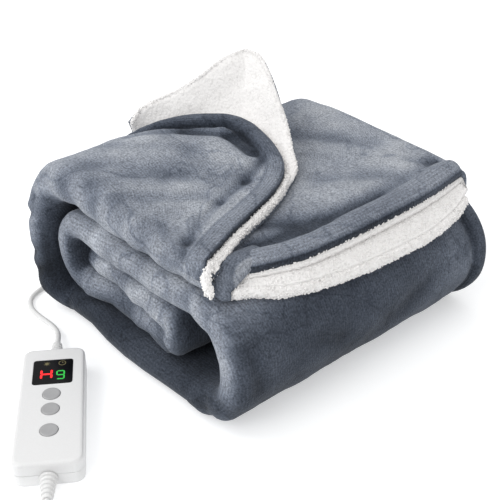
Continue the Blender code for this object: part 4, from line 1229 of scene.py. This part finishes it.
# The mouth's hem ends in a soft roll that turns down beside the strip.
RollEnd = namedtuple("RollEnd", "x y z half thick lean")
ROLL_END = (
    RollEnd(-31.0, 66.0, 133.0, 13.5, 6.0, 0.0),
    RollEnd(-30.0, 48.0, 135.0, 13.5, 6.5, 0.05),
    RollEnd(-28.5, 35.0, 135.5, 13.5, 7.0, 0.2),
    RollEnd(-24.5, 24.0, 133.0, 13.5, 7.5, 0.5),
    RollEnd(-18.5, 15.5, 129.0, 12.5, 7.5, 0.8),
    RollEnd(-13.0, 12.5, 125.5, 9.5, 6.5, 1.0),
    RollEnd(-7.0, 13.5, 123.0, 5.0, 4.0, 1.0),
)
ROLL_LEAN = Vector((0.52, -0.50, 0.69))
ROLL_SIDES = 24
ROLL_STEP = 1.6
ROLL_TIP = 7.0                   # rings over which its free end rounds off
# flat painted shade on the roll's end
ROLL_SHADE = 0.85


def hem_roll_end(flannel):
    """The end of the mouth's hem, a flat roll bent down round the nose."""
    line = even_path(smooth_line([row[:3] for row in ROLL_END]), ROLL_STEP)
    points, backs, lifts = [], [], []
    last, rows = len(line) - 1, range(len(ROLL_END))
    for i, p in enumerate(line):
        at = rows[-1] * i / last
        half, thick, lean = (curve_through(rows, [getattr(row, name) for row in ROLL_END], at)
                             for name in ("half", "thick", "lean"))
        along = along_line(line, i)
        up = Vector((0.0, 0.0, 1.0)).lerp(ROLL_LEAN, lean).normalized()
        side = along.cross(up).normalized()
        up = side.cross(along)
        round_off = math.sqrt(max(0.02, 1.0 - max(0.0, (i - last + ROLL_TIP) / ROLL_TIP) ** 2))
        for k in range(ROLL_SIDES):
            angle = TURN * k / ROLL_SIDES
            u, w = math.cos(angle), math.sin(angle)
            q = p + (side * (half * u) + up * (thick * w)) * round_off
            points.append(q + (q - p).normalized() * 0.8 * noise.noise(q / 9.0))
            backs.append(half * (1.0 - u))
            # painted shade: lighter on the roll's upper side, darker under it
            lifts.append(2.5 * w - 0.5)
    made = mesh_object("hem_roll_end", points, tube_faces(len(line), ROLL_SIDES), flannel)
    feel(made, hem_back=backs, lift=lifts, nap=[ROLL_SHADE] * len(points))
    return made


def sherpa_edges(sherpa, rim):
    """The rolls of pile along all the edges, and the loose curls."""
    rng = random.Random(11)
    return [
        fluffy_edge("lower_lip_pile", lip_path(3, *LOWER_LIP), 5.0, sherpa, rng, 10),
        fluffy_edge("upper_lip_pile", lip_path(2, *UPPER_LIP), 3.9, sherpa, rng, 8),
        fluffy_edge("hem_strip_pile", strip_path(), 3.9, sherpa, rng, 8),
        fluffy_edge("corner_rim_pile", rim, 2.1, sherpa, rng, 6, 1.0),
        lip_curls(sherpa, rng),
    ]


# ------------------------------------------------------------ the controller
CONTROLLER_AT = (-42.0, -147.0, 0.0)
CONTROLLER_TURN = 145.5          # degrees from the pile's x
BODY_HEIGHT = 24.0
WINDOW_X = 113.95                # along the body from its near end
WINDOW_TOP = 23.85
BUTTONS = (83.9, 64.4, 38.5)     # the same way along
BUTTON_RADIUS = 7.6
BUTTON_PROUD = 0.8
BUTTON_FLOOR = -3.05
BUTTON_RIM = 0.5
DISH = ((1.8, 0.12), (2.7, 0.13), (1.9, 0.05))   # inset and sink of each step
SIGN_THICK = 0.12
SIGN_GAP = 0.35                  # between the strokes of a figure
SIGN_STROKE = 0.45
SMOOTH_ANGLE = math.radians(40.0)
# Figures on the display: middle measured from the window's, size, stroke.
Figure = namedtuple("Figure", "ahead aside height width stroke segments")
RED_H = Figure(-2.9, 5.5, 13.8, 10.8, 2.0, "bcefg")
GREEN_9 = Figure(-4.9, -6.7, 12.2, 7.5, 1.3, "abcdfg")
SUN = (11.5, 5.7)
CLOCK = (11.5, -7.7)


def pile_point(x, y, z):
    return (Vector((x, y, z)) + FRONT_CORNER) * MM


def controller_matrix():
    return (Matrix.Translation(pile_point(*CONTROLLER_AT))
            @ Matrix.Rotation(math.radians(CONTROLLER_TURN), 4, "Z"))


def alone(*pieces):
    """Selects these pieces and nothing else, the first one active."""
    bpy.ops.object.select_all(action="DESELECT")
    for piece in pieces:
        piece.select_set(True)
    bpy.context.view_layer.objects.active = pieces[0]


def choose(piece, kind, wanted):
    """Edit mode, with the faces or edges selected that are wanted."""
    if piece.mode != "EDIT":
        alone(piece)
        bpy.ops.object.mode_set(mode="EDIT")
    bpy.ops.mesh.select_mode(type=kind)
    bpy.ops.mesh.select_all(action="DESELECT")
    shape = bmesh.from_edit_mesh(piece.data)
    for one in shape.faces if kind == "FACE" else shape.edges:
        one.select_set(wanted(one))
    bmesh.update_edit_mesh(piece.data)


def leave_edit():
    bpy.ops.object.mode_set(mode="OBJECT")


def bevel(offset, segments):
    bpy.ops.mesh.bevel(offset=offset * MM, segments=segments, affect="EDGES")


def settle(piece, matrix=None):
    """The object at the origin, unturned, with its place in its mesh."""
    if matrix:
        piece.matrix_world = matrix @ piece.matrix_world
    alone(piece)
    bpy.ops.object.transform_apply(location=True, rotation=True, scale=True)


def copied(piece, matrix):
    """A copy with its own mesh, moved and turned by the matrix."""
    other = piece.copy()
    other.data = piece.data.copy()
    bpy.context.scene.collection.objects.link(other)
    other.matrix_world = matrix
    return other


def joined(name, pieces, finish, matrix):
    """Several pieces made one, where the matrix puts them."""
    bpy.context.view_layer.update()
    alone(*pieces)
    if len(pieces) > 1:
        bpy.ops.object.join()
    made = bpy.context.object
    made.name = made.data.name = name
    settle(made, matrix)
    bpy.ops.object.shade_smooth_by_angle(angle=SMOOTH_ANGLE)
    made.data.materials.clear()
    made.data.materials.append(finish)
    return made


def spot(x, y, degrees=0.0):
    return (Matrix.Translation(Vector((x, y, 0.0)) * MM)
            @ Matrix.Rotation(math.radians(degrees), 4, "Z"))


def stroke(length, width):
    """A flat bar along x with pointed ends, lying on the glass."""
    bpy.ops.mesh.primitive_cube_add(size=1.0, location=(0.0, 0.0, SIGN_THICK / 2.0 * MM))
    made = bpy.context.object
    made.scale = (length * MM, width * MM, SIGN_THICK * MM)
    settle(made)
    choose(made, "EDGE", lambda edge: abs(edge.verts[0].co.z - edge.verts[1].co.z) > 1e-6)
    bevel(0.46 * width, 1)
    leave_edit()
    return made


def strokes(pattern, places):
    """Copies of one stroke at several places; the pattern itself goes."""
    made = [copied(pattern, place_at) for place_at in places]
    bpy.data.objects.remove(pattern)
    return made


def figure_strokes(figure):
    """A seven-segment figure, its top towards x."""
    w, h = (figure.width - figure.stroke) / 2.0, (figure.height - figure.stroke) / 2.0
    x, y = figure.ahead, figure.aside
    flat = {"a": h, "g": 0.0, "d": -h}
    upright = {"f": (0.5, 1.0), "b": (0.5, -1.0), "e": (-0.5, 1.0), "c": (-0.5, -1.0)}
    made = strokes(stroke(2.0 * w - SIGN_GAP, figure.stroke),
                   [spot(x + flat[name], y, 90.0) for name in figure.segments if name in flat])
    made += strokes(stroke(h - SIGN_GAP, figure.stroke),
                    [spot(x + h * upright[name][0], y + w * upright[name][1])
                     for name in figure.segments if name in upright])
    return made


def low_disc(x, y, radius):
    """A thin disc on the glass with a softened rim."""
    bpy.ops.mesh.primitive_cylinder_add(vertices=32, radius=radius * MM, depth=SIGN_THICK * MM,
                                        location=Vector((x, y, SIGN_THICK / 2.0)) * MM)
    made = bpy.context.object
    settle(made)
    choose(made, "EDGE", lambda edge: min(v.co.z for v in edge.verts) > 0.9 * SIGN_THICK * MM)
    bevel(0.04, 1)
    leave_edit()
    return made


def sun_sign():
    """A small sun: a disc and eight rays."""
    rays = strokes(stroke(1.0, SIGN_STROKE),
                   [spot(*SUN, 45.0 * k) @ spot(2.4, 0.0) for k in range(8)])
    return [low_disc(*SUN, 1.7)] + rays


def clock_sign():
    """A small clock: a ring and two hands."""
    face = low_disc(*CLOCK, 3.3)
    choose(face, "FACE", lambda one: abs(one.normal.z) > 0.9)
    bpy.ops.mesh.inset(thickness=0.55 * MM)
    bpy.ops.mesh.bridge_edge_loops()
    bpy.ops.mesh.select_all(action="SELECT")
    bpy.ops.mesh.normals_make_consistent(inside=False)
    leave_edit()
    hands = strokes(stroke(2.0, SIGN_STROKE), [spot(CLOCK[0] + 0.9, CLOCK[1])])
    hands += strokes(stroke(1.7, SIGN_STROKE), [spot(CLOCK[0], CLOCK[1] - 0.75, 90.0)])
    return [face] + hands


def button_cap():
    """A grey button with a rounded rim, dished in fine steps."""
    bpy.ops.mesh.primitive_cylinder_add(vertices=48, radius=BUTTON_RADIUS * MM,
                                        depth=(BUTTON_PROUD - BUTTON_FLOOR) * MM,
                                        location=(0.0, 0.0, (BUTTON_PROUD + BUTTON_FLOOR) / 2.0 * MM))
    cap = bpy.context.object
    settle(cap)
    high = (BUTTON_PROUD - 0.01) * MM
    choose(cap, "EDGE", lambda edge: min(v.co.z for v in edge.verts) > high)
    bevel(BUTTON_RIM, 3)
    choose(cap, "FACE", lambda one: one.normal.z > 0.99 and one.calc_center_median().z > high)
    for width, sink in DISH:
        bpy.ops.mesh.inset(thickness=width * MM, depth=-sink * MM)
    leave_edit()
    rings = cap.data.uv_layers.active.data
    for loop in cap.data.loops:
        rings[loop.index].uv = cap.data.vertices[loop.vertex_index].co.xy
    return cap


def controller_details():
    """The lit figures, the two signs and the buttons."""
    body = controller_matrix()
    glass = body @ Matrix.Translation(Vector((WINDOW_X, 0.0, WINDOW_TOP)) * MM)
    red = lit_material("segment_red", (0.90, 0.012, 0.015), 0.75)
    green = lit_material("segment_green", (0.02, 0.42, 0.05), 0.6)
    olive = lit_material("sign_olive", (0.14, 0.12, 0.05), 0.2)
    for piece in (joined("figure_level", figure_strokes(RED_H), red, glass),
                  joined("figure_hours", figure_strokes(GREEN_9), green, glass),
                  joined("sign_sun", sun_sign(), olive, glass),
                  joined("sign_clock", clock_sign(), olive, glass)):
        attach(piece, BODY)

    brushed = brushed_material()
    cap = button_cap()
    for number, x in enumerate(BUTTONS, 1):
        made = joined("button_%d_cap" % number, [copied(cap, Matrix())], brushed,
                      body @ Matrix.Translation(Vector((x, 0.0, BODY_HEIGHT)) * MM))
        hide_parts("button_%d" % number)
        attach(made, "key_%d" % number)
    bpy.data.objects.remove(cap)


# ----------------------------------------------------------------- the cords
CORD_RADIUS = 2.75
CORD_STEP = 4.0                  # between the points of a cord
# The lead from the controller to its sleeve, point by point.
BLANKET_LEAD = (
    (-184.4, -49.1, 9.0), (-193.0, -43.2, 8.2), (-204.0, -37.0, 5.4),
    (-217.0, -33.6, 3.4), (-231.0, -33.4, CORD_RADIUS), (-246.0, -34.2, CORD_RADIUS),
    (-261.0, -32.0, CORD_RADIUS), (-274.0, -24.0, CORD_RADIUS), (-281.5, -9.0, CORD_RADIUS),
    (-284.0, 12.0, CORD_RADIUS), (-283.5, 45.0, CORD_RADIUS), (-281.5, 85.0, CORD_RADIUS),
    (-280.5, 125.0, CORD_RADIUS), (-281.5, 165.0, CORD_RADIUS), (-283.5, 205.0, CORD_RADIUS),
    (-284.0, 245.0, CORD_RADIUS), (-281.0, 283.0, CORD_RADIUS), (-271.5, 314.0, CORD_RADIUS),
    (-253.5, 337.5, CORD_RADIUS), (-230.0, 350.5, 3.0), (-208.0, 352.5, 4.2),
    (-194.0, 345.0, 5.9), (-190.2, 333.0, 6.7), (-190.0, 323.8, 6.8),
)
# The mains lead, in the coil's own frame: x away from the controller, the
# origin under the coil's middle.
COIL_AHEAD = 96.0                # coil's middle from the near end of the body
COIL_ASIDE = 35.5
COIL_RADIUS = 30.0               # middle of the turns
COIL_LIFT = 1.9                  # it rests on its tie
MAINS_IN = (
    (-71.3, 35.5, 9.0), (-62.0, 35.5, 8.6), (-52.0, 35.5, 7.2),
    (-42.0, 35.5, 5.6), (-31.0, 35.5, 4.5), (-21.2, 35.5, 4.35),
)
MAINS_OUT = (
    (35.5, -21.2, 9.8), (35.5, -30.0, 8.4), (34.5, -42.0, 5.6),
    (30.0, -55.0, 5.0), (22.5, -65.5, 6.2),
)
# Places of the coil's turns, in cord widths from its middle, in the order
# that the lead runs through them: out, up.
TURNS = ((1, 0), (0, 0), (-1, 0), (-1, 1), (-1, 2), (0, 2), (0, 1), (1, 2), (1, 1))
SHIFT_FIRST = -120.0             # degrees where the lead moves to its next turn
SHIFT_STEP = 16.0                # each later move this much before
SHIFT_WIDTH = 40.0
COIL_IN = 90.0                   # degrees where the lead meets the coil
POINTS_A_TURN = 36


def smooth_route(route):
    """Points every so often on a smooth curve through a route's points."""
    return even_path(smooth_line(route), CORD_STEP)


def coil_points():
    """The coil as one line: every turn in its own place, none crossing."""
    width = 2.0 * CORD_RADIUS
    points = []
    angle = COIL_IN
    while angle >= -360.0 * (len(TURNS) - 1) - 1e-6:
        place_at = sum(ease((SHIFT_FIRST + (SHIFT_STEP - 360.0) * number - angle) / SHIFT_WIDTH)
                       for number in range(len(TURNS) - 1))
        number = min(int(place_at), len(TURNS) - 2)
        t = place_at - number
        out, up = (a + (b - a) * t for a, b in zip(TURNS[number], TURNS[number + 1]))
        radius = COIL_RADIUS + width * out
        points.append(Vector((radius * math.cos(math.radians(angle)),
                              radius * math.sin(math.radians(angle)),
                              COIL_LIFT + CORD_RADIUS + width * up)))
        angle -= 360.0 / POINTS_A_TURN
    return points


def cord_object(name, points, finish, matrix):
    """A round cord along points in millimetres, placed by the matrix."""
    curve = bpy.data.curves.new(name, "CURVE")
    curve.dimensions = "3D"
    curve.bevel_depth = CORD_RADIUS * MM
    curve.bevel_resolution = 3
    curve.use_fill_caps = True
    line = curve.splines.new("POLY")
    line.points.add(len(points) - 1)
    for point, at in zip(line.points, points):
        point.co = (*(matrix @ (at * MM)), 1.0)
    line.use_smooth = True
    curve.materials.append(finish)
    return link(name, curve)


def cords(finish):
    pile = Matrix.Translation(FRONT_CORNER * MM)
    route = smooth_route(BLANKET_LEAD)
    lead = cord_object("controller_lead", route, finish, pile)
    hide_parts("blanket_lead")
    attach(lead, BODY)

    coil = (controller_matrix() @ Matrix.Translation(Vector((-COIL_AHEAD, COIL_ASIDE, 0.0)) * MM)
            @ Matrix.Rotation(math.pi, 4, "Z"))
    route = smooth_route(MAINS_IN) + coil_points() + smooth_route(MAINS_OUT)
    mains = cord_object("mains_cord", route, finish, coil)
    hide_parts("mains_lead_in", "mains_lead_out", "mains_coil")
    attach(mains, BODY)


def dress_nodes():
    """Better finishes for the solids that stay as they are."""
    white = plain_material("housing_white", (0.74, 0.74, 0.74), 0.34, depth=0.03)
    glass = glass_material()
    rubber = plain_material("cord_rubber", (0.74, 0.74, 0.735), 0.5, depth=0.04)
    steel = plain_material("blade_steel", (0.62, 0.62, 0.60), 0.28, metallic=1.0, depth=0.05)
    for finish, names in ((white, ("controller_base", "controller_top", "mains_plug")),
                          (glass, ("display_window",)),
                          (rubber, ("mains_relief", "blanket_relief", "lead_sleeve", "coil_tie")),
                          (steel, ("plug_blade_1", "plug_blade_2"))):
        for name in names:
            for slot in NODES[name].material_slots:
                slot.material = finish
    return rubber


# ------------------------------------------------------- camera, floor, light
CAMERA_AT = (492.0, -407.7, 578.0)
CAMERA_DOWN = 32.0               # degrees below level
CAMERA_TURN = 48.5
LENS = 72.0                      # on a sensor 36 mm wide
FLOOR_SIZE = 120.0               # metres, so that no view shows its edge
FLOOR_GLOW = 0.42
SKY_LOW = 0.30                   # strength of the studio's light from the side
SKY_HIGH = 1.15                  # and from straight above
LIT_POINT = Vector((0.0, 0.05, 0.08))
Light = namedtuple("Light", "name at size power")    # in metres and watts
LIGHTS = (Light("key", (-1.1, -1.0, 1.5), 1.2, 11.0),
          Light("fill", (0.3, -1.6, 1.2), 1.0, 10.0))


def set_camera():
    data = bpy.data.cameras.new("camera")
    data.lens = LENS
    data.sensor_width = 36.0
    data.clip_start = 0.01
    camera = link("camera", data)
    camera.location = pile_point(*CAMERA_AT)
    camera.rotation_euler = (math.radians(90.0 - CAMERA_DOWN), 0.0, math.radians(CAMERA_TURN))
    bpy.context.scene.camera = camera


def set_floor():
    bpy.ops.mesh.primitive_plane_add(size=FLOOR_SIZE)
    floor = bpy.context.object
    floor.name = "floor"
    finish = plain_material("floor_white", (0.80, 0.81, 0.82), 0.8)
    glow = finish.node_tree.nodes["Principled BSDF"]
    glow.inputs["Emission Color"].default_value = (1.0, 1.0, 1.0, 1.0)
    glow.inputs["Emission Strength"].default_value = FLOOR_GLOW
    floor.data.materials.append(finish)


def set_lights():
    for row in LIGHTS:
        data = bpy.data.lights.new(row.name, "AREA")
        data.size = row.size
        data.energy = row.power
        light = link(row.name, data)
        light.location = row.at
        light.rotation_euler = (LIT_POINT - Vector(row.at)).to_track_quat("-Z", "Y").to_euler()


def set_sky():
    """White light all round, stronger from above."""
    world = bpy.data.worlds.new("studio")
    bpy.context.scene.world = world
    world.use_nodes = True
    w = Wiring(world.node_tree)
    height = w.node("SeparateXYZ", in0=w.where("Generated")).outputs["Z"]
    shine = w.nodes["Background"]
    shine.inputs["Color"].default_value = (1.0, 1.0, 1.0, 1.0)
    w.join(w.span(height, 0.0, 1.0, SKY_LOW, SKY_HIGH), shine.inputs["Strength"])


def main():
    set_camera()
    set_floor()
    set_lights()
    set_sky()
    bpy.context.scene.view_settings.view_transform = "Standard"
    flannel = flannel_material()
    sherpa = sherpa_material()
    cloth = throw(flannel, sherpa)
    back, face, rim = collar(flannel, sherpa)
    roll_end = hem_roll_end(flannel)
    lips = mouth_facing(sherpa)
    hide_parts("flannel_throw")
    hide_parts("sherpa_corner")
    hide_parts("sherpa_mouth")
    grey = [cloth, back, roll_end]
    white = [face, lips] + sherpa_edges(sherpa, rim)
    for pieces, slot in ((grey, "flannel"), (white, "sherpa")):
        for piece in pieces:
            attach(piece, BODY)
    rubber = dress_nodes()
    controller_details()
    cords(rubber)


main()
